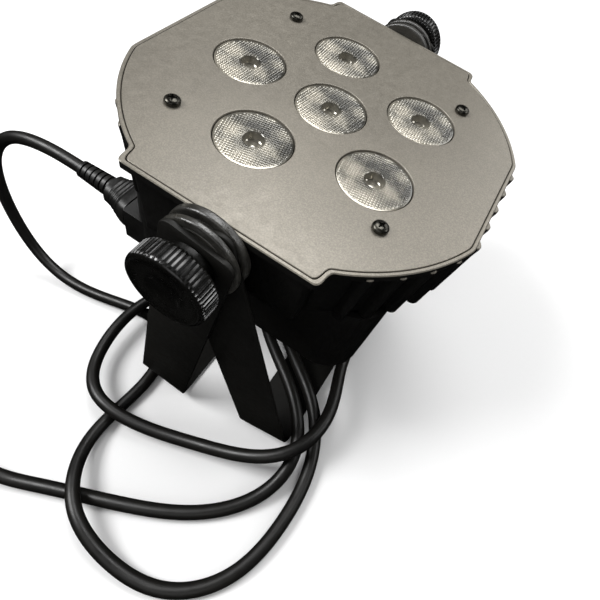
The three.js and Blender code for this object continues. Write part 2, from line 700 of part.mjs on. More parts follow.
const shoulder = [CONNECTOR.halfY, CONNECTOR.halfZ];
const connectorBody = tapered(CONNECTOR.from, CONNECTOR.to, INLET.y, INLET.z, shoulder, [CONNECTOR.tipY, CONNECTOR.tipZ]);
const connectorNose = block(
  [CONNECTOR.from - 1, INLET.y - INLET.halfY + 2.8, INLET.z - INLET.halfZ + 2.8],
  [-BOX.x + INLET.depth - 6, INLET.y + INLET.halfY - 2.8, INLET.z + INLET.halfZ - 2.8],
);
piece(head, "mains_connector", MOULDED_BLACK, connectorBody.add(connectorNose));
const relief = new THREE.CylinderGeometry(RELIEF.wide, RELIEF.narrow, RELIEF.from - RELIEF.to, 14);
relief.rotateZ(-Math.PI / 2);
relief.translate((RELIEF.from + RELIEF.to) / 2, INLET.y, INLET.z);
piece(head, "strain_relief", MOULDED_BLACK, solid(relief));

const lead = new THREE.ExtrudeGeometry(roundSection(CORD_RADIUS, CORD_SIDES), {
  steps: CORD_STEPS,
  bevelEnabled: false,
  extrudePath: new LeadCurve(CORD_ROUTE),
});
piece(light, "mains_cord", CORD_BLACK, solid(lead));

const plugEnd = PLUG.x - PLUG.length;
const plugBody = tapered(PLUG.x, plugEnd, PLUG.y, PLUG.z, [PLUG.tip, PLUG.tip], [PLUG.halfY, PLUG.halfZ]);
const blades = [-6.4, 6.4].map((y) => block(
  [plugEnd - 16, PLUG.y + y - 0.8, PLUG.z - 3.2],
  [plugEnd + 2, PLUG.y + y + 0.8, PLUG.z + 3.2],
));
const earthPin = rod("x", 2.4, plugEnd - 18, plugEnd + 2, [0, PLUG.y, PLUG.z - 7.5], 10);
piece(light, "mains_plug", MOULDED_BLACK, union([plugBody, ...blades, earthPin]));

export default light;
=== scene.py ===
"""A small LED par can light on a double floor yoke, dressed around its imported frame.

The frame is in metres with +Z up. The head is worked out in its own frame, in millimetres: its origin is where
the pivot axis (along Y) crosses the middle of the head, and its +Z comes out through the lenses.
"""

import logging
import math
from collections.abc import Callable, Sequence
from dataclasses import dataclass, field
from enum import Enum

import bmesh
import bpy
from mathutils import Matrix, Vector


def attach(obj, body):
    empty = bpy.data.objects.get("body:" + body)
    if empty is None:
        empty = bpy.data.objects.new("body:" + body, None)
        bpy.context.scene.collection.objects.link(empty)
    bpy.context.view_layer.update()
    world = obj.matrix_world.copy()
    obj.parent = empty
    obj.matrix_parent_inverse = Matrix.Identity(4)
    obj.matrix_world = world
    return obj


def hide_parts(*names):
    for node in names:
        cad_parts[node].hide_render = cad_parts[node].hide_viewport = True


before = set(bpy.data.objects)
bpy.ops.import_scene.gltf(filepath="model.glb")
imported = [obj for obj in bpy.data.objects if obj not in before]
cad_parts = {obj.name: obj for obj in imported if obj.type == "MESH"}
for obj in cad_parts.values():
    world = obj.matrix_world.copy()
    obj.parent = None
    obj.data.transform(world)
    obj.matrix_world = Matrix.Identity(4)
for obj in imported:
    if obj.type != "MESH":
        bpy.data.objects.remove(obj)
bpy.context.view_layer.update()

Pair = tuple[float, float]
Point = tuple[float, float, float]
Socket = bpy.types.NodeSocket
Colour = tuple[float, float, float]

MM = 0.001
PIVOT = Vector((0.0003, 0.0, 0.13816))
HEAD_TILT = math.radians(11.8)
OUTER_LEAN = math.radians(19.6)
INNER_LEAN = math.radians(-8.169)
SCREW_PLACE = 62.6 * math.sqrt(0.5)
FLAT = 0.999
TINY = 1e-6
NOISE_LOW, NOISE_HIGH = 0.3, 0.7
EASED_ABOVE_DEG = 40.0

log = logging.getLogger("par_light")


class Turn(Enum):
    """The frames that pieces are made in, as turns about the pivot axis."""

    HEAD = HEAD_TILT
    OUTER = OUTER_LEAN
    INNER = INNER_LEAN
    UPRIGHT = 0.0

    def matrix(self) -> Matrix:
        """Gives the frame as a matrix in the row frame, with its origin at the pivot."""
        return Matrix.Translation(PIVOT) @ Matrix.Rotation(self.value, 4, "Y")


class Side(Enum):
    """The two ends of the pivot axis."""

    NEAR = -1
    FAR = 1

    def axis_frame(self) -> Matrix:
        """Gives a turn that stands a piece's own +Z along the pivot axis, outwards on this side."""
        return Matrix.Rotation(math.radians(-90 * self.value), 4, "X")


# ---- Finishes ----


class Graph:
    """The shader nodes of one material, built up by name."""

    def __init__(self, name: str) -> None:
        """Starts a material.

        Args:
            name: The material's name.
        """
        self.material = bpy.data.materials.new(name)
        self.material.use_nodes = True
        self.tree = self.material.node_tree
        self.shader = self.tree.nodes["Principled BSDF"]
        self.place = self.add("ShaderNodeTexCoord").outputs["Object"]

    def add(self, kind: str, **settings: object) -> bpy.types.Node:
        """Adds a node.

        Args:
            kind: The node's Blender type.
            settings: Properties to set on it.

        Returns:
            The node.
        """
        node = self.tree.nodes.new(kind)
        for key, value in settings.items():
            setattr(node, key, value)
        return node

    def join(self, source: Socket, target: Socket) -> None:
        """Links two sockets."""
        self.tree.links.new(source, target)

    def noise(self, grain_mm: float, detail: float = 3.0, stretch: Point = (1, 1, 1)) -> Socket:
        """Makes a noise whose grains have a real size.

        Args:
            grain_mm: The size of a grain, in millimetres.
            detail: How many finer layers it has.
            stretch: How much finer the grain is along each axis.

        Returns:
            The noise's factor.
        """
        mapping = self.add("ShaderNodeMapping")
        mapping.inputs["Scale"].default_value = stretch
        self.join(self.place, mapping.inputs["Vector"])
        noise = self.add("ShaderNodeTexNoise")
        noise.inputs["Scale"].default_value = 1 / (grain_mm * MM)
        noise.inputs["Detail"].default_value = detail
        self.join(mapping.outputs["Vector"], noise.inputs["Vector"])
        return noise.outputs["Fac"]

    def ramp(self, factor: Socket, stops: Sequence[tuple[float, Colour]]) -> Socket:
        """Turns a factor into colours.

        Args:
            factor: What drives the ramp.
            stops: Places from 0 to 1, with a colour at each.

        Returns:
            The colour.
        """
        node = self.add("ShaderNodeValToRGB")
        elements = node.color_ramp.elements
        for element, (where, colour) in zip(elements, (stops[0], stops[-1]), strict=True):
            element.position = where
            element.color = (*colour, 1)
        for where, colour in stops[1:-1]:
            elements.new(where).color = (*colour, 1)
        self.join(factor, node.inputs["Fac"])
        return node.outputs["Color"]

    def blend(self, mode: str, amount: float, first: Socket, second: Socket) -> Socket:
        """Blends two colours.

        Args:
            mode: The blend mode.
            amount: How much of the second is used.
            first: The colour below.
            second: The colour above.

        Returns:
            The blended colour.
        """
        node = self.add("ShaderNodeMix", data_type="RGBA", blend_type=mode)
        node.inputs[0].default_value = amount
        self.join(first, node.inputs[6])
        self.join(second, node.inputs[7])
        return node.outputs[2]

    def spread(self, factor: Socket, low: float, high: float) -> Socket:
        """Stretches the middle of a noise over a range."""
        return self.remap(factor, (NOISE_LOW, NOISE_HIGH), (low, high))

    def remap(self, value: Socket, taken: Pair, given: Pair) -> Socket:
        """Maps one range of a value onto another.

        Args:
            value: The value.
            taken: The range it comes in.
            given: The range it goes out in.

        Returns:
            The mapped value.
        """
        node = self.add("ShaderNodeMapRange")
        limits = zip(("From Min", "From Max", "To Min", "To Max"), (*taken, *given), strict=True)
        for name, limit in limits:
            node.inputs[name].default_value = limit
        self.join(value, node.inputs["Value"])
        return node.outputs["Result"]

    def emboss(self, height: Socket, depth_mm: float) -> None:
        """Raises the surface by a height.

        Args:
            height: The height, from 0 to 1.
            depth_mm: The height of 1, in millimetres.
        """
        bump = self.add("ShaderNodeBump")
        bump.inputs["Strength"].default_value = 1.0
        bump.inputs["Distance"].default_value = depth_mm * MM
        self.join(height, bump.inputs["Height"])
        self.join(bump.outputs["Normal"], self.shader.inputs["Normal"])


@dataclass(frozen=True)
class Finish:
    """A finish mottled between two tones, with fine grain in its tone, its gloss and its surface."""

    name: str
    dark: Colour
    light: Colour
    gloss: tuple[float, float]
    metal: float = 0.0
    mottle_mm: float = 22.0
    grain_mm: float = 0.35
    depth_mm: float = 0.03
    speckle: float = 0.35
    coat: float = 0.0
    specular: float = 0.5
    stretch: Point = (1, 1, 1)

    def material(self) -> bpy.types.Material:
        """Builds the finish.

        Returns:
            The material, made once for each name.
        """
        known = bpy.data.materials.get(self.name)
        if known:
            return known
        graph = Graph(self.name)
        broad = graph.noise(self.mottle_mm, 4)
        fine = graph.noise(self.grain_mm, 2, self.stretch)
        tone = graph.ramp(broad, [(0.3, self.dark), (0.7, self.light)])
        greys = [(0.35, (0.35, 0.35, 0.35)), (0.5, (0.5, 0.5, 0.5)), (0.68, (0.75, 0.75, 0.74))]
        speckles = graph.ramp(fine, greys)
        graph.join(graph.blend("OVERLAY", self.speckle, tone, speckles), graph.shader.inputs["Base Color"])
        rough = graph.spread(graph.noise(self.grain_mm * 6, 3), *self.gloss)
        graph.join(rough, graph.shader.inputs["Roughness"])
        graph.emboss(fine, self.depth_mm)
        graph.shader.inputs["Metallic"].default_value = self.metal
        graph.shader.inputs["Coat Weight"].default_value = self.coat
        graph.shader.inputs["Coat Roughness"].default_value = 0.12
        graph.shader.inputs["Specular IOR Level"].default_value = self.specular
        return graph.material


@dataclass(frozen=True)
class LensFinish:
    """Clear moulded acrylic over a silvered cone: pale, with darker patches, a painted shade down one side and a
    silvery sheen.
    """

    name: str = "lens_acrylic"
    # The dark end colours the darker patches and the painted shade down one side; the pale end colours the paler
    # patches and the painted light side.
    pale: Colour = (0.4, 0.37, 0.305)
    dark_patch_and_shade: Colour = (0.07, 0.068, 0.06)
    middle: Colour = (0.26, 0.245, 0.205)
    patch_mm: float = 9.0
    reach_mm: float = 15.0

    def painted_side_shade(self, graph: Graph) -> Socket:
        """Grades the lens from a painted shaded side to its pale side, unevenly.

        Args:
            graph: The material's nodes.

        Returns:
            The factor, from 0 on the painted shaded side to 1.
        """
        split = graph.add("ShaderNodeSeparateXYZ")
        graph.join(graph.place, split.inputs["Vector"])
        reach = self.reach_mm * MM
        # Painted shade: each lens is darkened towards its own +Y side.
        across = graph.remap(split.outputs["Y"], (-reach, reach), (0.2, -0.2))
        total = graph.add("ShaderNodeMath", operation="ADD")
        graph.join(across, total.inputs[0])
        graph.join(graph.noise(self.patch_mm, 2), total.inputs[1])
        return total.outputs["Value"]

    def material(self) -> bpy.types.Material:
        """Builds the finish.

        Returns:
            The material.
        """
        known = bpy.data.materials.get(self.name)
        if known:
            return known
        graph = Graph(self.name)
        tone = graph.ramp(self.painted_side_shade(graph), [(0.3, self.dark_patch_and_shade), (0.5, self.middle), (0.66, self.pale)])
        graph.join(tone, graph.shader.inputs["Base Color"])
        graph.join(graph.spread(graph.noise(2.0), 0.1, 0.24), graph.shader.inputs["Roughness"])
        graph.emboss(graph.noise(0.5, 2), 0.02)
        graph.shader.inputs["Metallic"].default_value = 0.55
        graph.shader.inputs["Coat Weight"].default_value = 0.8
        graph.shader.inputs["Coat Roughness"].default_value = 0.06
        return graph.material


# Grey satin paint of the face plate; also put on the front faces of the black housing's rim and rib tips as a painted
# reflection.
FACE_PAINT_AND_RIM_SHEEN = Finish(
    "face_paint_and_rim_sheen", (0.185, 0.17, 0.142), (0.215, 0.197, 0.164), (0.33, 0.43),
    metal=0.4, mottle_mm=60, grain_mm=0.5, speckle=0.4, specular=0.6,
)
CAST_PAINT = Finish(
    "cast_paint", (0.0022, 0.0021, 0.0017), (0.0048, 0.0045, 0.0036), (0.5, 0.66),
    mottle_mm=24, grain_mm=0.6, depth_mm=0.05, speckle=0.5, specular=0.35,
)
SHEET_PAINT = Finish(
    "sheet_paint", (0.0045, 0.0043, 0.0034), (0.0085, 0.008, 0.0065), (0.5, 0.62),
    mottle_mm=30, grain_mm=0.5, depth_mm=0.04, speckle=0.5, specular=0.3,
)
WASHER_PAINT = Finish(
    "washer_paint", (0.014, 0.0135, 0.0115), (0.034, 0.0325, 0.028), (0.26, 0.4),
    mottle_mm=5, grain_mm=0.6, depth_mm=0.12, speckle=0.8, specular=0.9,
)
KNOB_PLASTIC = Finish(
    "knob_plastic", (0.0022, 0.0022, 0.0019), (0.0045, 0.0044, 0.0038), (0.2, 0.28),
    mottle_mm=14, grain_mm=0.4, depth_mm=0.002, speckle=0.12, specular=0.7,
)
MOULDED = Finish(
    "moulded_plastic", (0.004, 0.004, 0.0036), (0.0085, 0.0082, 0.0075), (0.34, 0.46), mottle_mm=12, specular=0.45
)
JACKET = Finish(
    "pvc_jacket", (0.0035, 0.0033, 0.0029), (0.0085, 0.0078, 0.0066), (0.34, 0.46),
    mottle_mm=30, grain_mm=0.7, speckle=0.3,
)
SCREW_METAL = Finish(
    "screw_metal", (0.03, 0.029, 0.025), (0.08, 0.076, 0.064), (0.2, 0.36),
    metal=0.9, mottle_mm=3, grain_mm=0.3, depth_mm=0.01, speckle=0.3,
)
STEEL = Finish(
    "zinc_plate", (0.45, 0.44, 0.42), (0.62, 0.61, 0.58), (0.2, 0.38),
    metal=1.0, mottle_mm=8, grain_mm=0.5, depth_mm=0.012, speckle=0.25, stretch=(1, 1, 6),
)
ALUMINIUM = Finish(
    "sawn_aluminium", (0.5, 0.5, 0.49), (0.66, 0.66, 0.64), (0.3, 0.48),
    metal=1.0, mottle_mm=20, grain_mm=0.6, depth_mm=0.02, speckle=0.25, stretch=(5, 1, 1),
)
PHOSPHOR = Finish(
    "emitter_phosphor", (0.62, 0.47, 0.08), (0.8, 0.68, 0.2), (0.15, 0.3),
    mottle_mm=1.2, grain_mm=0.3, depth_mm=0.01, speckle=0.25, coat=0.6,
)
CERAMIC = Finish(
    "emitter_ceramic", (0.6, 0.59, 0.55), (0.74, 0.73, 0.69), (0.3, 0.5),
    mottle_mm=3, grain_mm=0.3, depth_mm=0.01, speckle=0.2,
)
BOARD = Finish(
    "board_lacquer", (0.008, 0.035, 0.019), (0.02, 0.075, 0.042), (0.22, 0.4),
    mottle_mm=5, grain_mm=0.6, speckle=0.5, coat=0.3,
)
WINDOW = Finish(
    "window_acrylic", (0.004, 0.006, 0.008), (0.01, 0.013, 0.017), (0.05, 0.12),
    mottle_mm=8, grain_mm=1.5, depth_mm=0.002, speckle=0.2, coat=0.8,
)
FLOOR_PAPER = Finish(
    "floor_paper", (0.80, 0.80, 0.80), (0.83, 0.83, 0.83), (0.8, 0.9),
    mottle_mm=300, grain_mm=3.0, depth_mm=0.01, speckle=0.03, specular=0.1,
)


# ---- Mesh making ----


def circle(radius: float, height: float, sides: int) -> list[Point]:
    """Gives a level ring of points round Z."""
    turns = [math.tau * k / sides for k in range(sides)]
    return [(radius * math.cos(turn), radius * math.sin(turn), height) for turn in turns]


@dataclass
class Skin:
    """A mesh gathered from rings and flat faces, in millimetres of its own frame."""

    points: list[Point] = field(default_factory=list)
    faces: list[tuple[int, ...]] = field(default_factory=list)

    def wrap(self, rings: Sequence[Sequence[Point]], joined: bool = False) -> "Skin":
        """Skins a run of closed rings that all have the same number of points.

        Args:
            rings: The rings, in order.
            joined: Whether the last ring meets the first, instead of both being closed by a flat face.

        Returns:
            This skin.
        """
        start, count = len(self.points), len(rings[0])
        for ring in rings:
            self.points.extend(ring)
        spans = len(rings) if joined else len(rings) - 1
        for i in range(spans):
            here = start + i * count
            there = start + ((i + 1) % len(rings)) * count
            for k in range(count):
                after = (k + 1) % count
                self.faces.append((here + k, here + after, there + after, there + k))
        if not joined:
            last = start + (len(rings) - 1) * count
            self.faces.append(tuple(range(start, start + count))[::-1])
            self.faces.append(tuple(range(last, last + count)))
        return self

    def turn(
        self,
        profile: Sequence[Pair],
        sides: int,
        wave: Callable[[int, float], float] | None = None,
        joined: bool = False,
    ) -> "Skin":
        """Turns a profile about Z.

        Args:
            profile: Pairs of radius and height, from one end to the other.
            sides: How many sides it has.
            wave: Gives what is added to the radius of a profile point at an angle.
            joined: Whether the profile's last point meets its first.

        Returns:
            This skin.
        """
        rings = []
        for i, (radius, height) in enumerate(profile):
            ring = []
            for k in range(sides):
                angle = math.tau * k / sides
                r = radius + (wave(i, angle) if wave else 0.0)
                ring.append((r * math.cos(angle), r * math.sin(angle), height))
            rings.append(ring)
        return self.wrap(rings, joined)

    def add(self, other: "Skin") -> None:
        """Takes in another skin's points and faces.

        Args:
            other: The other skin.
        """
        start = len(self.points)
        self.points += other.points
        self.faces += [tuple(start + k for k in face) for face in other.faces]

    def box(self, low: Point, high: Point, edge: float = 0.3) -> "Skin":
        """Adds a block whose upright edges and rims are eased.

        Args:
            low: Its lowest corner.
            high: Its highest corner.
            edge: How much its edges are eased by.

        Returns:
            This skin.
        """
        rings = []
        for z, pull in ((low[2], edge), (low[2] + edge, 0), (high[2] - edge, 0), (high[2], edge)):
            x0, y0, x1, y1 = low[0] + pull, low[1] + pull, high[0] - pull, high[1] - pull
            rings.append(
                [
                    (x0 + edge, y0, z), (x1 - edge, y0, z), (x1, y0 + edge, z), (x1, y1 - edge, z),
                    (x1 - edge, y1, z), (x0 + edge, y1, z), (x0, y1 - edge, z), (x0, y0 + edge, z),
                ]
            )
        return self.wrap(rings)

    def moved(self, matrix: Matrix) -> "Skin":
        """Moves every point gathered so far, by a matrix in millimetres."""
        self.points = [tuple(matrix @ Vector(p)) for p in self.points]
        return self

    def mesh(self, name: str, smooth_deg: float = 38.0) -> bpy.types.Mesh:
        """Makes the Blender mesh, in metres.

        Args:
            name: Its name.
            smooth_deg: Edges sharper than this stay crisp.

        Returns:
            The mesh.
        """
        data = bpy.data.meshes.new(name)
        data.from_pydata([tuple(c * MM for c in p) for p in self.points], [], self.faces)
        bm = bmesh.new()
        bm.from_mesh(data)
        bmesh.ops.recalc_face_normals(bm, faces=bm.faces)
        bm.to_mesh(data)
        bm.free()
        data.polygons.foreach_set("use_smooth", [True] * len(data.polygons))
        data.set_sharp_from_angle(angle=math.radians(smooth_deg))
        return data


class Bench:
    """Where pieces are put together: placed, cut, eased, dressed and fixed to the frame."""

    @staticmethod
    def bring(name: str, data: bpy.types.ID) -> bpy.types.Object:
        """Puts a new object into the scene.

        Args:
            name: The object's name.
            data: Its mesh, curve, light or camera.

        Returns:
            The object.
        """
        made = bpy.data.objects.new(name, data)
        bpy.context.scene.collection.objects.link(made)
        return made

    @staticmethod
    def place(name: str, data: bpy.types.Mesh, finish: Finish | LensFinish, matrix: Matrix) -> bpy.types.Object:
        """Makes an object from a mesh.

        Args:
            name: Its name.
            data: Its mesh.
            finish: Its finish.
            matrix: Its place in the row frame.

        Returns:
            The object.
        """
        made = Bench.bring(name, data)
        made.matrix_world = matrix
        if not data.materials:
            data.materials.append(finish.material())
        return made

    @staticmethod
    def cut(made: bpy.types.Object, cutters: Sequence[Skin]) -> None:
        """Cuts shapes out of an object, in its own frame.

        Args:
            made: The object.
            cutters: What is taken away from it.
        """
        for cutter in cutters:
            tool = Bench.bring("cutter", cutter.mesh("cutter"))
            tool.matrix_world = made.matrix_world
            change = made.modifiers.new("cut", "BOOLEAN")
            change.operation, change.solver, change.object = "DIFFERENCE", "EXACT", tool
            Bench.settle(made)
            bpy.data.objects.remove(tool)

    @staticmethod
    def settle(made: bpy.types.Object) -> None:
        """Turns an object's modifiers into its mesh."""
        bpy.context.view_layer.update()
        graph = bpy.context.evaluated_depsgraph_get()
        fresh = bpy.data.meshes.new_from_object(made.evaluated_get(graph))
        made.modifiers.clear()
        made.data = fresh

    @staticmethod
    def ease(made: bpy.types.Object, width_mm: float) -> None:
        """Eases an object's sharp edges with a modifier, so that they catch the light.

        Args:
            made: The object.
            width_mm: How wide the eased edge is.
        """
        bevel = made.modifiers.new("eased_edges", "BEVEL")
        bevel.width = width_mm * MM
        bevel.segments = 2
        bevel.limit_method = "ANGLE"
        bevel.angle_limit = math.radians(EASED_ABOVE_DEG)
        bevel.use_clamp_overlap = True
        bevel.harden_normals = True

    @staticmethod
    def fix(made: bpy.types.Object, body: str, slot: str, *nodes: str) -> bpy.types.Object:
        """Fixes a piece to a body of the frame.

        Args:
            made: The piece.
            body: The body that it rides on.
            slot: Not used.
            nodes: The CAD nodes that it stands for.

        Returns:
            The piece.
        """
        if nodes:
            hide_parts(*nodes)
        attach(made, body)
        log.info("%s rides on %s", made.name, body)
        return made

    @staticmethod
    def dress(node: str, finish: Finish, slot: str, edge_mm: float = 0.3) -> None:
        """Gives a CAD node its finish and eased edges.

        Args:
            node: The node's name.
            finish: Its finish.
            slot: Not used.
            edge_mm: How wide its eased edges are.
        """
        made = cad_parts[node]
        made.data.materials.clear()
        made.data.materials.append(finish.material())
        Bench.ease(made, edge_mm)
        log.info("%s keeps its shape and is dressed", node)


def corners(x: float, y: float) -> list[Pair]:
    """Gives a rectangle's four corners from half its width and height, anticlockwise from the first quarter."""
    return [(x, y), (-x, y), (-x, -y), (x, -y)]


# ---- Stage ----


@dataclass
class Stage:
    """The floor, the light and the camera."""

    eye: Point = (0.07635, -0.15829, 0.2496)
    across: Point = (0.861, 0.506, 0.039)
    up: Point = (-0.425, 0.676, 0.602)
    lens: float = 27.29
    floor_half: float = 4.0

    def camera(self) -> None:
        """Sets up the camera, close to the light and looking down on it."""
        data = bpy.data.cameras.new("camera")
        data.lens, data.sensor_width = self.lens, 36
        data.clip_start = 0.01
        made = Bench.bring("camera", data)
        right = Vector(self.across).normalized()
        back = right.cross(Vector(self.up)).normalized()
        up = back.cross(right)
        turn = Matrix((right, up, back)).transposed().to_4x4()
        made.matrix_world = Matrix.Translation(self.eye) @ turn
        bpy.context.scene.camera = made

    def floor(self) -> None:
        """Lays the pale floor."""
        h = self.floor_half
        data = bpy.data.meshes.new("floor")
        data.from_pydata([(-h, -h, 0), (h, -h, 0), (h, h, 0), (-h, h, 0)], [], [(0, 1, 2, 3)])
        floor = Bench.place("floor", data, FLOOR_PAPER, Matrix.Translation((0, 0, -0.0001)))
        floor.visible_glossy = False

    @staticmethod
    def lamp(name: str, place: Point, aim: Point, size: Pair, power: float) -> None:
        """Hangs one soft box.

        Args:
            name: Its name.
            place: Where it hangs.
            aim: Where it points.
            size: Its width and height.
            power: Its power, in watts.
        """
        data = bpy.data.lights.new(name, "AREA")
        data.shape, data.size, data.size_y, data.energy = "RECTANGLE", *size, power
        made = Bench.bring(name, data)
        made.location = place
        made.rotation_euler = (Vector(aim) - Vector(place)).to_track_quat("-Z", "Y").to_euler()

    def lights(self) -> None:
        """Hangs the soft boxes and sets the white surround."""
        self.lamp("key", (-0.8, -0.45, 1.2), (0, 0, 0.05), (0.6, 0.6), 18.0)
        self.lamp("sheen", (0.05, 0.5, 1.3), (0, 0, 0.15), (0.9, 0.55), 11.5)
        self.lamp("side", (0.55, 0.95, 0.75), (0, 0, 0.15), (0.7, 0.5), 2.5)
        self.lamp("rim", (1.0, 0.4, 0.62), (0, 0, 0.14), (0.35, 0.35), 2.0)
        self.lamp("fill", (0.3, -1.1, 0.9), (0, 0, 0.1), (1.0, 0.8), 2.0)
        world = bpy.data.worlds.new("surround")
        bpy.context.scene.world = world
        world.use_nodes = True
        world.cycles_visibility.glossy = False
        world.node_tree.nodes["Background"].inputs["Color"].default_value = (1, 1, 1, 1)
        world.node_tree.nodes["Background"].inputs["Strength"].default_value = 0.4

    def build(self) -> None:
        """Sets up everything around the object."""
        self.camera()
        self.floor()
        self.lights()
        bpy.context.scene.view_settings.view_transform = "Standard"
        log.info("stage set")


# ---- Mains lead ----


@dataclass
class MainsLead:
    """The lead: its route, the jacket, the tapered relief, the connector and the plug."""

    radius: float = 3.5
    length: float = 1.8
    steps: int = 12
    section_sides: int = 48
    connector: Pair = (-66.5, -84.2)
    connector_half: Pair = (12.0, 8.2)
    tip_half: Pair = (7.5, 6.2)
    relief: Pair = (-84.0, -104.7)
    inlet: Pair = (-43.0, -63.0)
    plug: Point = (-114.0, -176.0, 12.0)
    plug_length: float = 38.0
    plug_half: Pair = (12.5, 11.0)
    plug_tip: float = 6.0
    route: tuple[Point, ...] = (
        (-0.1154, -0.043, 0.098), (-0.137, -0.043, 0.1025), (-0.165, -0.046, 0.104),
        (-0.187, -0.052, 0.084), (-0.189, -0.058, 0.048), (-0.177, -0.062, 0.013),
        (-0.149, -0.064, 0.0028), (-0.119, -0.061, 0.0038), (-0.088, -0.0545, 0.0038),
        (-0.068, -0.06, 0.0038), (-0.057, -0.077, 0.0038), (-0.055, -0.099, 0.0038),
        (-0.059, -0.12, 0.0036), (-0.057, -0.143, 0.007), (-0.036, -0.167, 0.0155),
        (-0.005, -0.174, 0.0038), (0.025, -0.17, 0.0036), (0.048, -0.148, 0.0038),
        (0.054, -0.116, 0.004), (0.053, -0.086, 0.0032), (0.041, -0.06, 0.013),
        (0.015, -0.04, 0.0115), (-0.011, -0.018, 0.0105), (-0.029, 0.008, 0.0105),
        (-0.024, 0.033, 0.0105), (-0.007, 0.05, 0.0105), (0.016, 0.05, 0.0105),
        (0.033, 0.033, 0.0105), (0.036, 0.006, 0.0105), (0.037, -0.028, 0.013),
        (0.05, -0.058, 0.018), (0.046, -0.087, 0.0205), (0.026, -0.102, 0.016),
        (-0.006, -0.108, 0.007), (-0.041, -0.118, 0.0085), (-0.071, -0.119, 0.0155),
        (-0.091, -0.097, 0.009), (-0.093, -0.06, 0.0155), (-0.083, -0.022, 0.0034),
        (-0.074, 0.03, 0.004), (-0.071, 0.076, 0.0036), (-0.046, 0.114, 0.0036),
        (0.0, 0.124, 0.0036), (0.036, 0.122, 0.0038), (0.058, 0.109, 0.0036),
        (0.064, 0.088, 0.005), (0.055, 0.068, 0.009), (0.033, 0.058, 0.012),
        (0.006, 0.056, 0.012), (-0.023, 0.052, 0.012), (-0.041, 0.026, 0.012),
        (-0.033, -0.008, 0.012), (-0.007, -0.036, 0.012), (0.023, -0.056, 0.013),
        (0.046, -0.084, 0.0125), (0.039, -0.114, 0.0034), (0.013, -0.138, 0.0038),
        (-0.023, -0.152, 0.0036), (-0.059, -0.164, 0.0038), (-0.079, -0.172, 0.0035),
        (-0.099, -0.176, 0.0115), (-0.1137, -0.176, 0.012),
    )

    def line(self) -> list[Vector]:
        """Runs the smooth curve that the route guides.

        Returns:
            Points along the middle of the lead, in metres.
        """
        guide = [Vector(p) for p in self.route]
        guide = [guide[0] * 2 - guide[1], *guide, guide[-1] * 2 - guide[-2]]
        points = []
        spans = len(guide) - 3
        for i in range(spans * self.steps + 1):
            span = min(i // self.steps, spans - 1)
            u = i / self.steps - span
            weights = ((1 - u) ** 3, 3 * u**3 - 6 * u**2 + 4, -3 * u**3 + 3 * u**2 + 3 * u + 1, u**3)
            total = Vector((0, 0, 0))
            for k, weight in enumerate(weights):
                total += guide[span + k] * (weight / 6)
            points.append(total)
        return points

    def jacket(self) -> bpy.types.Object:
        """Draws the jacket round the lead's line.

        Returns:
            The curve object.
        """
        line = self.line()
        data = bpy.data.curves.new("mains_lead", "CURVE")
        data.dimensions = "3D"
        data.bevel_depth = self.radius * MM
        data.bevel_resolution = 6
        data.use_fill_caps = True
        spline = data.splines.new("POLY")
        spline.points.add(len(line) - 1)
        for point, place in zip(spline.points, line, strict=True):
            point.co = (*place, 1)
        spline.use_smooth = True
        data.materials.append(JACKET.material())
        made = Bench.bring("mains_lead", data)
        return Bench.fix(made, "head", "lead_jacket", "mains_cord")

    def rounded(self, along: float, half_y: float, half_z: float, power: float) -> list[Point]:
        """Gives one soft-cornered section across X.

        Args:
            along: Its place on X.
            half_y: Half its width.
            half_z: Half its height.
            power: How square it is.

        Returns:
            The section's points.
        """
        ring = []
        for k in range(self.section_sides):
            angle = math.tau * k / self.section_sides
            c, s = math.cos(angle), math.sin(angle)
            y = math.copysign(abs(c) ** (2 / power), c) * half_y
            z = math.copysign(abs(s) ** (2 / power), s) * half_z
            ring.append((along, y, z))
        return ring

    def connector_piece(self) -> None:
        """Makes the moulded connector, with a grip shoulder and finger ridges."""
        wide, tall = self.connector_half
        tip_wide, tip_tall = self.tip_half
        start, end = self.connector
        rings = [self.rounded(-46.5, 9.6, 6.1, 6), self.rounded(start - 0.2, 9.7, 6.2, 6)]
        rings += [self.rounded(start - 0.4, wide - 1, tall - 1, 5), self.rounded(start - 1.2, wide, tall, 4.5)]
        steps = 28
        for i in range(steps + 1):
            t = i / steps
            along = start - 1.6 + (end + 1.4 - start) * t
            ease = t * t * (3 - 2 * t)
            groove = -0.45 if 0.3 < t < 0.85 and i % 4 < 2 else 0.0
            half_y = wide + (tip_wide - wide) * ease + groove
            half_z = tall + (tip_tall - tall) * ease + groove
            rings.append(self.rounded(along, half_y, half_z, 4.2 - 1.6 * t))
        rings += [self.rounded(end + 0.05, tip_wide - 1.2, tip_tall - 1.2, 2.4)]
        skin = Skin().wrap(rings).moved(Matrix.Translation((0, *self.inlet)))
        made = Bench.place("connector_body", skin.mesh("connector_body", 50), MOULDED, Turn.HEAD.matrix())
        Bench.fix(made, "head", "lead_moulding", "mains_connector")

    def relief_piece(self) -> None:
        """Makes the tapered strain relief, with half rings cut out on alternate sides."""
        start, end = self.relief
        steps, sides = 96, self.section_sides
        rings = []
        for i in range(steps + 1):
            t = i / steps
            along = start + (end - start) * t
            radius = 5.7 - 1.1 * t
            cell = int(t * 13)
            inside = 0.35 < t * 13 - cell < 0.85 and 0 < cell < 12
            ring = []
            for k in range(sides):
                angle = math.tau * k / sides
                lobe = math.sin(angle) * (1 if cell % 2 else -1)
                r = radius - (min(1.4, max(0.0, lobe + 0.25) * 6) if inside else 0.0)
                ring.append((along, r * math.cos(angle), r * math.sin(angle)))
            rings.append(ring)
        skin = Skin().wrap(rings).moved(Matrix.Translation((0, *self.inlet)))
        made = Bench.place("relief_boot", skin.mesh("relief_boot", 45), MOULDED, Turn.HEAD.matrix())
        Bench.fix(made, "head", "lead_moulding", "strain_relief")

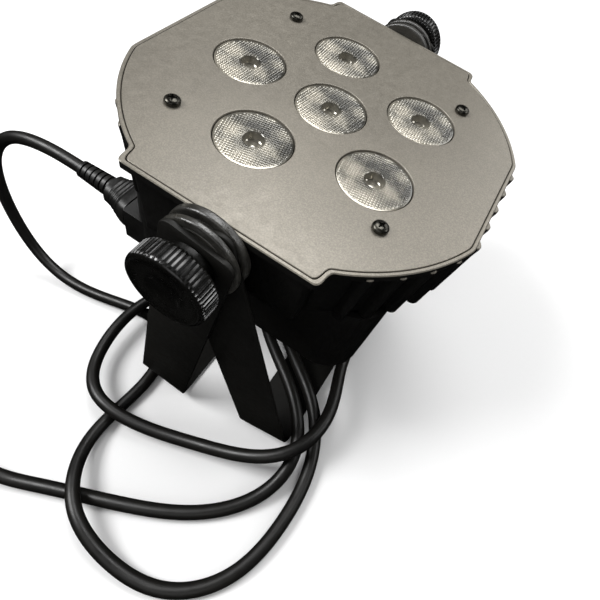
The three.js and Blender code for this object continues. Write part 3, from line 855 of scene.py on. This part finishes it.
    def plug_pieces(self) -> list[bpy.types.Object]:
        """Makes the moulded plug and its metal blades.

        Returns:
            The body and the contacts.
        """
        wide, tall = self.plug_half
        steps = 40
        rings = []
        for i in range(steps + 1):
            t = i / steps
            ease = t * t * (3 - 2 * t)
            edge = 1.0 - max(0.0, (t - 0.94) / 0.06) ** 2 * 0.09
            grip = 0.5 if 0.35 < t < 0.8 and i % 4 < 2 else 0.0
            half_y = (self.plug_tip + (wide - self.plug_tip) * ease) * edge - grip
            half_z = (self.plug_tip + (tall - self.plug_tip) * ease) * edge - grip
            rings.append(self.rounded(-self.plug_length * t, half_y, half_z, 2.2 + 1.8 * t))
        place = Matrix.Translation(Vector(self.plug) * MM)
        body = Bench.place("plug_body", Skin().wrap(rings).mesh("plug_body", 50), MOULDED, place)
        blades = Skin()
        for y in (-6.4, 6.4):
            blades.box((-self.plug_length - 16, y - 0.8, -3.2), (-self.plug_length + 1, y + 0.8, 3.2), 0.35)
        pin = Skin().turn([(1.2, 18), (2.0, 17), (2.4, 15.5), (2.4, -1)], 24)
        pin.moved(Matrix.Translation((-self.plug_length, 0, -7.5)) @ Matrix.Rotation(math.radians(-90), 4, "Y"))
        blades.add(pin)
        contacts = Bench.place("plug_blades", blades.mesh("plug_blades"), STEEL, place)
        Bench.fix(body, "head", "lead_moulding", "mains_plug")
        Bench.fix(contacts, "head", "plated_steel", "mains_plug")
        return [body, contacts]

    def build(self) -> None:
        jacket = self.jacket()
        self.connector_piece()
        self.relief_piece()
        ends = self.plug_pieces()
        log.info("mains lead laid")


# ---- Head ----


@dataclass
class CastHousing:
    """The die-cast front housing, as one closed skin from its rim round to the inside of its recess."""

    face: float = 11.8
    back: float = -24.2
    wall: float = 2.5
    plate: tuple[float, float, float, float] = (80.0, 74.8, 77.0, 37.5)
    body: tuple[float, float, float, float] = (78.0, 73.2, 76.2, 36.5)
    rim: float = 1.8
    rim_depth: float = 3.4
    draft: float = 0.035
    pitch: float = math.radians(360 / 42)
    ribs_each_way: int = 6
    ribs_on_flat: int = 2
    rib_width: float = 5.0
    rib_reach: float = 82.4
    rib_reach_on_flat: float = 78.4
    opening: Point = (52.0, 46.0, 16.0)
    screw_bore: float = 1.9
    throat: float = 71.2
    samples: int = 1440

    def outline(self, sizes: tuple[float, float, float, float], grow: float = 0.0) -> list[float]:
        """Works out the outline's radius all round: a circle with flats on X and square tabs on Y.

        Args:
            sizes: The circle's radius, the flats' distance, the tabs' distance and half their width.
            grow: How much bigger it is drawn.

        Returns:
            The radius at each sample.
        """
        radius, flat, tab, half = (size + grow for size in sizes)
        reach = []
        for k in range(self.samples):
            angle = math.tau * k / self.samples
            c, s = abs(math.cos(angle)), abs(math.sin(angle))
            r = min(radius, flat / max(c, TINY))
            if r * c <= half + 1.5:
                shoulder = half / max(c, TINY)
                r = min(tab / max(s, TINY), max(shoulder, min(r, self.throat / max(s, TINY))))
            reach.append(r)
        return self.softened(reach, 5)

    def softened(self, reach: list[float], width: int) -> list[float]:
        """Rounds an outline's corners by averaging neighbours.

        Args:
            reach: The radius at each sample.
            width: How many neighbours on each side count.

        Returns:
            The rounded radii.
        """
        count = len(reach)
        span = range(-width, width + 1)
        return [sum(reach[(k + d) % count] for d in span) / len(span) for k in range(count)]

    def ribs(self) -> list[float]:
        """Works out how far the ribs reach all round.

        Returns:
            The radius at each sample, or 0 between ribs.
        """
        nose = self.rib_width / 2
        reach = [0.0] * self.samples
        for k in range(-self.ribs_each_way, self.ribs_each_way + 1):
            on_flat = abs(k) <= self.ribs_on_flat
            for i in range(self.samples):
                angle = math.tau * i / self.samples
                if abs(math.cos(angle)) < 0.3:
                    continue
                side = 1 if math.cos(angle) > 0 else -1
                c = side * math.cos(angle)
                if on_flat:
                    y = (self.rib_reach_on_flat - 1) * math.sin(angle) / c
                    off = y - side * self.plate[1] * math.tan(k * self.pitch)
                    if abs(off) < nose:
                        x = self.rib_reach_on_flat - nose + math.sqrt(nose**2 - off**2)
                        reach[i] = max(reach[i], x / c)
                else:
                    turned = angle - k * self.pitch - (0 if side > 0 else math.pi)
                    off = self.rib_reach * math.sin(turned)
                    if abs(off) < nose and math.cos(turned) > 0:
                        reach[i] = max(reach[i], self.rib_reach - nose + math.sqrt(nose**2 - off**2))
        return reach

    def shrink(self, z: float) -> float:
        """Gives the draft's scale at a height."""
        return 1 - self.draft * (self.face - z) / (self.face - self.back)

    def rounded_box(self, x: float, y: float, corner: float) -> list[float]:
        """Works out a round-cornered rectangle's radius all round.

        Args:
            x: Half its width.
            y: Half its height.
            corner: Its corner radius.

        Returns:
            The radius at each sample.
        """
        reach = []
        for k in range(self.samples):
            angle = math.tau * k / self.samples
            c, s = abs(math.cos(angle)), abs(math.sin(angle))
            r = min(x / max(c, TINY), y / max(s, TINY))
            px, py = r * c, r * s
            cx, cy = x - corner, y - corner
            if px > cx and py > cy:
                b = c * cx + s * cy
                r = b + math.sqrt(max(0.0, b * b - cx * cx - cy * cy + corner * corner))
            reach.append(r)
        return reach

    def ring(self, reach: Sequence[float], z: float) -> list[Point]:
        """Places an outline at a height."""
        turn = math.tau / self.samples
        return [(r * math.cos(k * turn), r * math.sin(k * turn), z) for k, r in enumerate(reach)]

    def shell(self) -> Skin:
        """Skins the housing.

        Returns:
            The closed skin.
        """
        rim = self.outline(self.plate, self.rim)
        eased_rim = self.outline(self.plate, self.rim - 0.35)
        recess = self.outline(self.plate, 0.3)
        wall = self.outline(self.body)
        inside = self.outline(self.body, -self.wall)
        ribs = self.ribs()
        seat = self.face - self.wall - 0.15
        under = self.face - self.rim_depth
        ribbed_rim = [max(a, b) for a, b in zip(rim, ribs, strict=True)]
        eased_ribs = [max(a, b - 0.35) for a, b in zip(rim, ribs, strict=True)]
        ribbed_wall = [max(a, b) for a, b in zip(wall, ribs, strict=True)]
        opening = self.rounded_box(*self.opening)
        rings = [self.ring([r + 0.25 for r in recess], self.face), self.ring(eased_rim, self.face)]
        rings += [self.ring(rim, self.face - 0.35), self.ring(rim, self.face - 1.95)]
        rings += [self.ring(eased_ribs, self.face - 2), self.ring(ribbed_rim, self.face - 2.35)]
        rings += [self.ring(ribbed_rim, under + 0.25), self.ring(ribbed_wall, under)]
        for z in (4.0, -3.0, -10.0, -17.0, self.back + 1.6):
            rings.append(self.ring([r * self.shrink(z) for r in ribbed_wall], z))
        for drop, pull in ((0.9, 0.25), (0.35, 0.8), (0.0, 1.7)):
            z = self.back + drop
            rings.append(self.ring([r * self.shrink(z) - pull for r in ribbed_wall], z))
        rings.append(self.ring([r + 1 for r in opening], self.back))
        rings.append(self.ring(opening, self.back + 0.5))
        rings.append(self.ring(opening, self.back + self.wall))
        rings.append(self.ring([r * self.shrink(self.back) for r in inside], self.back + self.wall))
        rings.append(self.ring([r * self.shrink(seat) for r in inside], seat))
        rings.append(self.ring(recess, seat))
        rings.append(self.ring(recess, self.face - 0.25))
        return Skin().wrap(rings, joined=True)

    def build(self) -> None:
        """Makes the housing with its pivot bosses and screw posts."""
        skin = self.shell()
        made = Bench.place("housing_casting", skin.mesh("housing_casting", 32), CAST_PAINT, Turn.HEAD.matrix())
        # Painted reflection: the rim's and rib tips' front faces take the grey face finish in place of the black
        # casting's highlight.
        made.data.materials.append(FACE_PAINT_AND_RIM_SHEEN.material())
        for polygon in made.data.polygons:
            polygon.use_smooth = abs(polygon.normal.z) < FLAT
            if polygon.normal.z > 0.5 and polygon.center.z > (self.face - 2.6) * MM:
                polygon.material_index = 1
        Bench.fix(made, "head", "cast_black", "housing")
        for side in Side:
            profile = [(4.6, 70.4), (9, 70.5), (9, 74.6), (11.3, 74.9), (11.3, 78.1), (10.9, 78.5), (4.6, 78.55)]
            boss = Skin().turn(profile, 72).moved(side.axis_frame())
            name = f"pivot_boss_{side.name.lower()}"
            made = Bench.place(name, boss.mesh(name), CAST_PAINT, Turn.HEAD.matrix())
            Bench.cut(made, [Skin().turn([(4.5, 60), (4.5, 90)], 32).moved(side.axis_frame())])
            Bench.fix(made, "head", "cast_black", "housing")
        posts = Skin()
        for x, y in corners(SCREW_PLACE, SCREW_PLACE):
            post = Skin().turn([(4.4, self.back + 2), (4.0, 0), (3.9, self.face - 2.9), (3.5, self.face - 2.7)], 40)
            post.moved(Matrix.Translation((x, y, 0)))
            posts.add(post)
        made = Bench.place("screw_posts", posts.mesh("screw_posts"), CAST_PAINT, Turn.HEAD.matrix())
        bore = [(self.screw_bore, self.back - 2), (self.screw_bore, self.face)]
        places = [Matrix.Translation((x, y, 0)) for x, y in corners(SCREW_PLACE, SCREW_PLACE)]
        bores = [Skin().turn(bore, 24).moved(place) for place in places]
        Bench.cut(made, bores)
        Bench.fix(made, "head", "cast_black", "housing")

    def face_plate(self, holes: Sequence[Point]) -> None:
        """Makes the flat face plate with its round holes and eased edges.

        Args:
            holes: The place and radius of each hole.
        """
        data = bpy.data.curves.new("face_plate", "CURVE")
        data.dimensions = "2D"
        data.fill_mode = "BOTH"
        thick = self.wall - 0.15
        data.extrude = (thick / 2 - 0.3) * MM
        data.bevel_depth = 0.3 * MM
        data.bevel_resolution = 2
        data.offset = -0.3 * MM
        rings = [[p[:2] for p in self.ring(self.outline(self.plate), 0)][::2]]
        for x, y, radius in holes:
            turn = math.tau / 96
            rings.append([(x + radius * math.cos(k * turn), y - radius * math.sin(k * turn)) for k in range(96)])
        for ring in rings:
            spline = data.splines.new("POLY")
            spline.points.add(len(ring) - 1)
            spline.use_cyclic_u = True
            for point, (x, y) in zip(spline.points, ring, strict=True):
                point.co = (x * MM, y * MM, 0, 1)
        pattern = Bench.bring("face_plate_pattern", data)
        bpy.context.view_layer.update()
        mesh = bpy.data.meshes.new_from_object(pattern.evaluated_get(bpy.context.evaluated_depsgraph_get()))
        bpy.data.objects.remove(pattern)
        bm = bmesh.new()
        bm.from_mesh(mesh)
        bmesh.ops.remove_doubles(bm, verts=bm.verts, dist=2e-6)
        bmesh.ops.recalc_face_normals(bm, faces=bm.faces)
        bm.to_mesh(mesh)
        bm.free()
        mesh.materials.clear()
        mesh.polygons.foreach_set("use_smooth", [abs(polygon.normal.z) < FLAT for polygon in mesh.polygons])
        height = Matrix.Translation((0, 0, (self.face - thick / 2) * MM))
        made = Bench.place("face_panel", mesh, FACE_PAINT_AND_RIM_SHEEN, Turn.HEAD.matrix() @ height)
        Bench.fix(made, "head", "face_grey", "front_plate")


@dataclass
class Optics:
    """The six lenses and the emitters under them."""

    circle: float = 40.0
    hole: float = 15.4
    front: float = 11.3
    well: float = 4.4
    count: int = 6
    pitch: float = 1.15
    relief: float = 0.34
    board_top: float = -4.6
    textured: float = 14.4
    ring_step: float = 0.16
    sides: int = 300

    def places(self) -> list[Pair]:
        """Gives the lens centres.

        Returns:
            One place in the middle and the others round it.
        """
        around = self.count - 1
        turns = [math.tau * i / around for i in range(around)]
        return [(0.0, 0.0), *((-self.circle * math.cos(t), self.circle * math.sin(t)) for t in turns)]

    def facet(self, x: float, y: float) -> float:
        """Gives the height of the fine pillow facets at a place on a lens front.

        Args:
            x: Across the lens.
            y: Along the lens.

        Returns:
            The height, in millimetres.
        """
        u = (x * 0.94 + y * 0.342) / self.pitch
        v = (y * 0.94 - x * 0.342) / self.pitch
        dome = math.cos(math.tau * u / 2) ** 2 * math.cos(math.tau * v / 2) ** 2
        return self.relief * dome

    def lens_mesh(self) -> bpy.types.Mesh:
        """Makes a lens: a faceted front round a smooth well, a flange, a cone and a cup.

        Returns:
            The mesh that all the lenses share.
        """
        under = [(0.3, -0.4), (2.4, -0.8), (3.2, -1.4), (3.6, -2.7), (6.2, -2.7), (6.5, -2.3)]
        cone = [(6.5 + 6.3 * t**0.85, -2.3 + 10.6 * t) for t in (i / 12 for i in range(1, 13))]
        flange = [(13.0, 9.0), (14.8, 9.1), (15.0, 9.3)]
        flange += [(15.0, self.front - 0.25), (14.85, self.front - 0.06), (14.6, self.front)]
        rings = [circle(radius, z, self.sides) for radius, z in (*under, *cone, *flange)]
        radius = self.textured
        while radius > self.well + 0.2:
            fade = min(1.0, (self.textured - radius) / 0.6, (radius - self.well) / 0.5)
            level = circle(radius, self.front, self.sides)
            rings.append([(x, y, z + fade * self.facet(x, y)) for x, y, z in level])
            radius -= self.ring_step
        inner = [(self.well, self.front), (4.15, self.front - 0.2), (3.9, 9.6), (3.6, 8.4)]
        inner += [(3.2, 8.05), (2.2, 7.95), (1.2, 8.3), (0.3, 8.5)]
        rings += [circle(radius, z, self.sides) for radius, z in inner]
        return Skin().wrap(rings).mesh("lens_optic", 34)

    def emitter_meshes(self) -> tuple[bpy.types.Mesh, bpy.types.Mesh]:
        """Makes the emitter's ceramic base and its dome.

        Returns:
            The base's mesh and the dome's mesh.
        """
        base = Skin().box((-1.9, -1.9, self.board_top), (1.9, 1.9, self.board_top + 0.85), 0.12)
        rises = [math.pi / 2 * i / 14 for i in range(14)]
        dome = [(1.62 * math.cos(a), self.board_top + 0.8 + 1.3 * math.sin(a)) for a in rises]
        profile = [(1.66, self.board_top + 0.7), *dome, (0.05, self.board_top + 2.1)]
        return base.mesh("emitter_base"), Skin().turn(profile, 40).mesh("emitter_dome")

    def build(self) -> None:
        """Makes and places the lenses and the emitters."""
        lens = self.lens_mesh()
        base, dome = self.emitter_meshes()
        for i, (x, y) in enumerate(self.places(), start=1):
            spin = Matrix.Rotation(math.radians(4 * i - 30), 4, "Z")
            place = Turn.HEAD.matrix() @ Matrix.Translation((x * MM, y * MM, 0))
            made = Bench.place(f"lens_optic_{i}", lens, LensFinish(), place @ spin)
            Bench.fix(made, "head", "lens_clear", f"lens_{i}")
            made = Bench.place(f"emitter_base_{i}", base, CERAMIC, place)
            Bench.fix(made, "head", "emitter", f"led_{i}")
            made = Bench.place(f"emitter_dome_{i}", dome, PHOSPHOR, place)
            Bench.fix(made, "head", "emitter", f"led_{i}")


@dataclass
class PanScrews:
    """The black pan-head screws with cross recesses, on the face and at the back."""

    shank: float = 1.55
    head: float = 3.15
    recess_half: Pair = (1.7, 0.36)
    face_seat: float = 12.1
    rear_seat: float = -77.3
    rear_place: Pair = (38.0, 50.0)

    def screw_mesh(self, name: str, length: float) -> bpy.types.Mesh:
        """Makes one screw that points down from its seat at height 0.

        Args:
            name: The mesh's name.
            length: The length of its shank.

        Returns:
            The mesh.
        """
        shank = [(0.3, -length), (self.shank * 0.7, -length + 0.8)]
        crests = int((length - 3) / 0.9)
        for i in range(crests):
            low = -length + 1.2 + i * 0.9
            shank += [(self.shank * 0.84, low), (self.shank, low + 0.4)]
        shank += [(self.shank, -0.8), (self.shank, 0.0)]
        cap = [(self.head - 0.15, 0.0), (self.head, 0.15), (self.head, 0.85), (self.head - 0.12, 1.2)]
        cap += [(self.head - 0.45, 1.55), (2.1, 1.85), (1.2, 2.03), (0.3, 2.08)]
        made = Bench.place(name, Skin().turn([*shank, *cap], 40).mesh(name, 30), SCREW_METAL, Matrix.Identity(4))
        long, short = self.recess_half
        cross = [Skin().box((-x, -y, 0.85), (x, y, 3), 0.08) for x, y in ((long, short), (short, long))]
        Bench.cut(made, [*cross, Skin().turn([(0.3, 0.5), (0.85, 1.2), (0.95, 3)], 16)])
        mesh = made.data
        bpy.data.objects.remove(made)
        mesh.polygons.foreach_set("use_smooth", [True] * len(mesh.polygons))
        mesh.set_sharp_from_angle(angle=math.radians(32))
        return mesh

    def build(self) -> None:
        """Makes and places all eight screws."""
        face = self.screw_mesh("face_screw_mesh", 18)
        rear = self.screw_mesh("rear_screw_mesh", 58)
        for i, (x, y) in enumerate(corners(SCREW_PLACE, SCREW_PLACE), start=1):
            place = Turn.HEAD.matrix() @ Matrix.Translation((x * MM, y * MM, self.face_seat * MM))
            place = place @ Matrix.Rotation(0.7 * i, 4, "Z")
            made = Bench.place(f"plate_screw_{i}", face, SCREW_METAL, place)
            Bench.fix(made, "head", "screw_black", f"face_screw_{i}")
        for i, (x, y) in enumerate(corners(*self.rear_place), start=1):
            place = Turn.HEAD.matrix() @ Matrix.Translation((x * MM, y * MM, self.rear_seat * MM))
            place = place @ Matrix.Rotation(math.pi, 4, "X") @ Matrix.Rotation(0.5 * i, 4, "Z")
            made = Bench.place(f"cover_screw_{i}", rear, SCREW_METAL, place)
            Bench.fix(made, "head", "screw_black", f"rear_screw_{i}")


class RearBox:
    """The rear box, what is let into it and what is inside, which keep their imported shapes."""

    @staticmethod
    def build() -> None:
        """Dresses the box, its panel, buttons, sockets, boards and heat sink."""
        Bench.dress("rear_cover", CAST_PAINT, "cast_black", 0.6)
        Bench.dress("control_panel", MOULDED, "moulded_black", 0.4)
        Bench.dress("display_window", WINDOW, "window_dark", 0.4)
        for name in ("menu_button", "down_button", "up_button", "enter_button"):
            Bench.dress(name, KNOB_PLASTIC, "moulded_black", 0.5)
        for name in ("mains_inlet", "data_in_socket", "data_out_socket", "fuse_cap"):
            Bench.dress(name, MOULDED, "moulded_black", 0.35)
        Bench.dress("safety_loop", STEEL, "plated_steel", 0.3)
        Bench.dress("heat_sink", ALUMINIUM, "sink_aluminium", 0.2)
        for name in ("led_board", "control_board", "power_board"):
            Bench.dress(name, BOARD, "board_green", 0.15)
        for name in ("pivot_nut_near", "pivot_nut_far"):
            Bench.dress(name, STEEL, "plated_steel", 0.4)


# ---- Pivots, knobs and yokes ----


@dataclass
class PivotStack:
    """The washers, the clamp knob and its stud on one end of the pivot axis."""

    side: Side
    inner: Point = (78.9, 82.3, 16.35)
    outer: Point = (84.4, 87.1, 16.2)
    bore: float = 4.5
    knob_from: float = 89.5
    collar: float = 94.4
    knob_to: float = 103.8
    knob_radius: float = 15.3
    neck: float = 9.5
    ridges: int = 58
    ridge: float = 0.7

    def washer(self, name: str, sizes: Point, frame_of: Turn, body: str) -> None:
        """Makes a grooved cast washer.

        Args:
            name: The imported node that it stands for.
            sizes: Where it starts and ends along the axis, and its radius.
            frame_of: The frame that it stands in.
            body: The body that it rides on.
        """
        start, end, radius = sizes
        soft = 0.9
        profile = [(self.bore, start)]
        for i in range(7):
            turned = math.pi / 2 * i / 6
            profile.append((radius - soft * (1 - math.sin(turned)), start + soft * (1 - math.cos(turned))))
        for i in range(7):
            turned = math.pi / 2 * i / 6
            profile.append((radius - soft * (1 - math.cos(turned)), end - soft * (1 - math.sin(turned))))
        profile += [(radius - 2.6, end), (radius - 2.9, end - 0.25), (radius - 3.3, end - 0.25)]
        profile += [(radius - 3.6, end), (self.bore, end)]
        skin = Skin().turn(profile, 120, joined=True).moved(self.side.axis_frame())
        made = Bench.place(f"cast_{name}", skin.mesh(f"cast_{name}", 30), WASHER_PAINT, frame_of.matrix())
        Bench.fix(made, body, "washer_black", name)

    def hand_knob(self, body: str) -> None:
        """Makes the ribbed hand knob with its dished face.

        Args:
            body: The body that it rides on.
        """
        top = self.knob_to
        r = self.knob_radius
        smooth = [(self.bore, top - 4), (self.bore, self.knob_from + 0.3), (self.bore + 0.3, self.knob_from)]
        smooth += [(self.neck - 0.5, self.knob_from), (self.neck, self.knob_from + 0.5), (self.neck, self.collar - 1.2)]
        smooth += [(self.neck + 0.5, self.collar - 0.4), (self.neck + 1.6, self.collar + 0.1)]
        smooth += [(r - 2.4, self.collar + 0.25)]
        band = [(r - 0.9, self.collar + 0.4), (r - 0.25, self.collar + 1.0), (r, self.collar + 1.7)]
        band += [(r, top - 2.0), (r - 0.1, top - 1.4)]
        lip = [(r - 0.35, top - 0.75), (r - 0.7, top - 0.3), (r - 1.2, top - 0.05)]
        lip += [(r - 1.8, top), (r - 2.5, top - 0.12), (r - 3.2, top - 0.32)]
        dish = [(r - 4.5, top - 0.42), (9, top - 0.5), (7.4, top - 0.5), (6.7, top - 0.58), (6.0, top - 0.95)]
        dish += [(5.2, top - 1.35), (3.8, top - 1.6), (1.8, top - 1.7), (0.3, top - 1.72)]
        profile = [(0.3, top - 4), *smooth, *band, *lip, *dish]
        first, last = 1 + len(smooth), len(smooth) + len(band)

        def wave(i: int, angle: float) -> float:
            """Gives the ridge's depth on the band.

            Args:
                i: The profile point.
                angle: The angle round the knob.

            Returns:
                What is added to the radius.
            """
            if not first <= i <= last:
                return 0.0
            groove = max(0.0, 0.25 - math.cos(self.ridges * angle)) / 1.25
            return -self.ridge * groove

        skin = Skin().turn(profile, self.ridges * 10, wave).moved(self.side.axis_frame())
        name = f"hand_{body}"
        made = Bench.place(name, skin.mesh(name, 40), KNOB_PLASTIC, Turn.UPRIGHT.matrix())
        Bench.fix(made, body, "knob_black", body)

    def threaded_stud(self, body: str) -> None:
        """Makes the stud with its thread.

        Args:
            body: The body that it rides on.
        """
        start, end = 63.0, self.knob_to - 4.3
        profile = [(0.3, start), (3.2, start)]
        crests = int((end - start - 1) / 1.25)
        for i in range(crests):
            low = start + 0.4 + 1.25 * i
            profile += [(3.35, low), (3.95, low + 0.55)]
        profile += [(3.3, end - 0.3), (3.1, end), (0.3, end)]
        name = f"threaded_stud_{self.side.name.lower()}"
        skin = Skin().turn(profile, 32).moved(self.side.axis_frame())
        made = Bench.place(name, skin.mesh(name, 25), STEEL, Turn.UPRIGHT.matrix())
        Bench.fix(made, body, "plated_steel", f"stud_{self.side.name.lower()}")

    def build(self) -> None:
        """Makes everything on this end of the axis."""
        end = self.side.name.lower()
        self.washer(f"inner_washer_{end}", self.inner, Turn.HEAD, "head")
        self.washer(f"outer_washer_{end}", self.outer, Turn.UPRIGHT, "outer_yoke")
        self.hand_knob(f"knob_{end}")
        self.threaded_stud(f"knob_{end}")


@dataclass
class BentYoke:
    """A yoke of flat bar bent into a U, with round-cornered ends and bored holes."""

    name: str
    body: str
    frame_of: Turn
    face: float
    thick: float
    reach: float
    bend: float
    half_width: float = 14.5
    top: float = 11.5
    corner: float = 4.5
    pivot_hole: float = 4.5
    clamp_hole: float = 5.2
    edge: float = 0.35

    def path(self) -> list[tuple[Vector, Vector, float]]:
        """Follows the middle of the bar from one end to the other.

        Returns:
            At each step: the place in the Y-Z plane, the direction across the bar's thickness, and half its width.
        """
        side = self.face - self.thick / 2
        low = -self.reach + self.thick / 2
        bend = self.bend - self.thick / 2
        steps: list[tuple[Vector, Vector, float]] = []
        for i in range(9):
            drop = self.corner * (1 - math.cos(math.pi / 2 * i / 8))
            pull = self.corner * (1 - math.sin(math.pi / 2 * i / 8))
            steps.append((Vector((-side, self.top - drop)), Vector((-1, 0)), self.half_width - pull))
        legs = 24
        for i in range(1, legs + 1):
            z = self.top - self.corner + (low + bend - self.top + self.corner) * i / legs
            steps.append((Vector((-side, z)), Vector((-1, 0)), self.half_width))
        for i in range(1, 15):
            angle = math.pi + math.pi / 2 * i / 14
            out = Vector((math.cos(angle), math.sin(angle)))
            steps.append((Vector((-side + bend, low + bend)) + out * bend, out, self.half_width))
        for i in range(1, 13):
            steps.append((Vector(((-side + bend) * (1 - i / 12), low)), Vector((0, -1)), self.half_width))
        mirrored = [(Vector((-p.x, p.y)), Vector((-n.x, n.y)), w) for p, n, w in reversed(steps[:-1])]
        return steps + mirrored

    def section(self, half: float) -> list[Pair]:
        """Goes round the bar's section, with its edges eased.

        Args:
            half: Half the bar's width there.

        Returns:
            Pairs of place across the width and depth through the thickness.
        """
        t, e = self.thick / 2, self.edge
        edge = [(half - e, t), (half - 0.3 * e, t - 0.3 * e), (half, t - e)]
        edge += [(x, -depth) for x, depth in reversed(edge)]
        return edge + [(-x, depth) for x, depth in reversed(edge)]

    def build(self) -> None:
        """Makes the yoke."""
        rings = []
        for place, out, half in self.path():
            spots = [(x, place + out * depth) for x, depth in self.section(half)]
            rings.append([(x, spot.x, spot.y) for x, spot in spots])
        name = f"bent_{self.name}"
        made = Bench.place(name, Skin().wrap(rings).mesh(name), SHEET_PAINT, self.frame_of.matrix())
        across = Skin().turn([(self.pivot_hole, -100), (self.pivot_hole, 100)], 40).moved(Side.FAR.axis_frame())
        clamp = Skin().turn([(self.clamp_hole, -self.reach - 5), (self.clamp_hole, -self.reach + 5)], 40)
        Bench.cut(made, [across, clamp])
        made.data.polygons.foreach_set("use_smooth", [True] * len(made.data.polygons))
        made.data.set_sharp_from_angle(angle=math.radians(50))
        Bench.fix(made, self.body, "sheet_black", self.name)


def main() -> None:
    """Builds everything in order."""
    logging.basicConfig(level=logging.INFO, format="%(name)s: %(message)s")
    Stage().build()
    MainsLead().build()
    housing = CastHousing()
    optics = Optics()
    holes = [(x, y, optics.hole) for x, y in optics.places()]
    holes += [(x, y, housing.screw_bore) for x, y in corners(SCREW_PLACE, SCREW_PLACE)]
    housing.build()
    housing.face_plate(holes)
    optics.build()
    PanScrews().build()
    RearBox.build()
    for side in Side:
        PivotStack(side).build()
    BentYoke("outer_yoke", "outer_yoke", Turn.OUTER, 89.2, 1.8, 141.5, 9).build()
    BentYoke("inner_yoke", "inner_yoke", Turn.INNER, 84.1, 1.5, 137.5, 7).build()


if __name__ == "__main__":
    main()
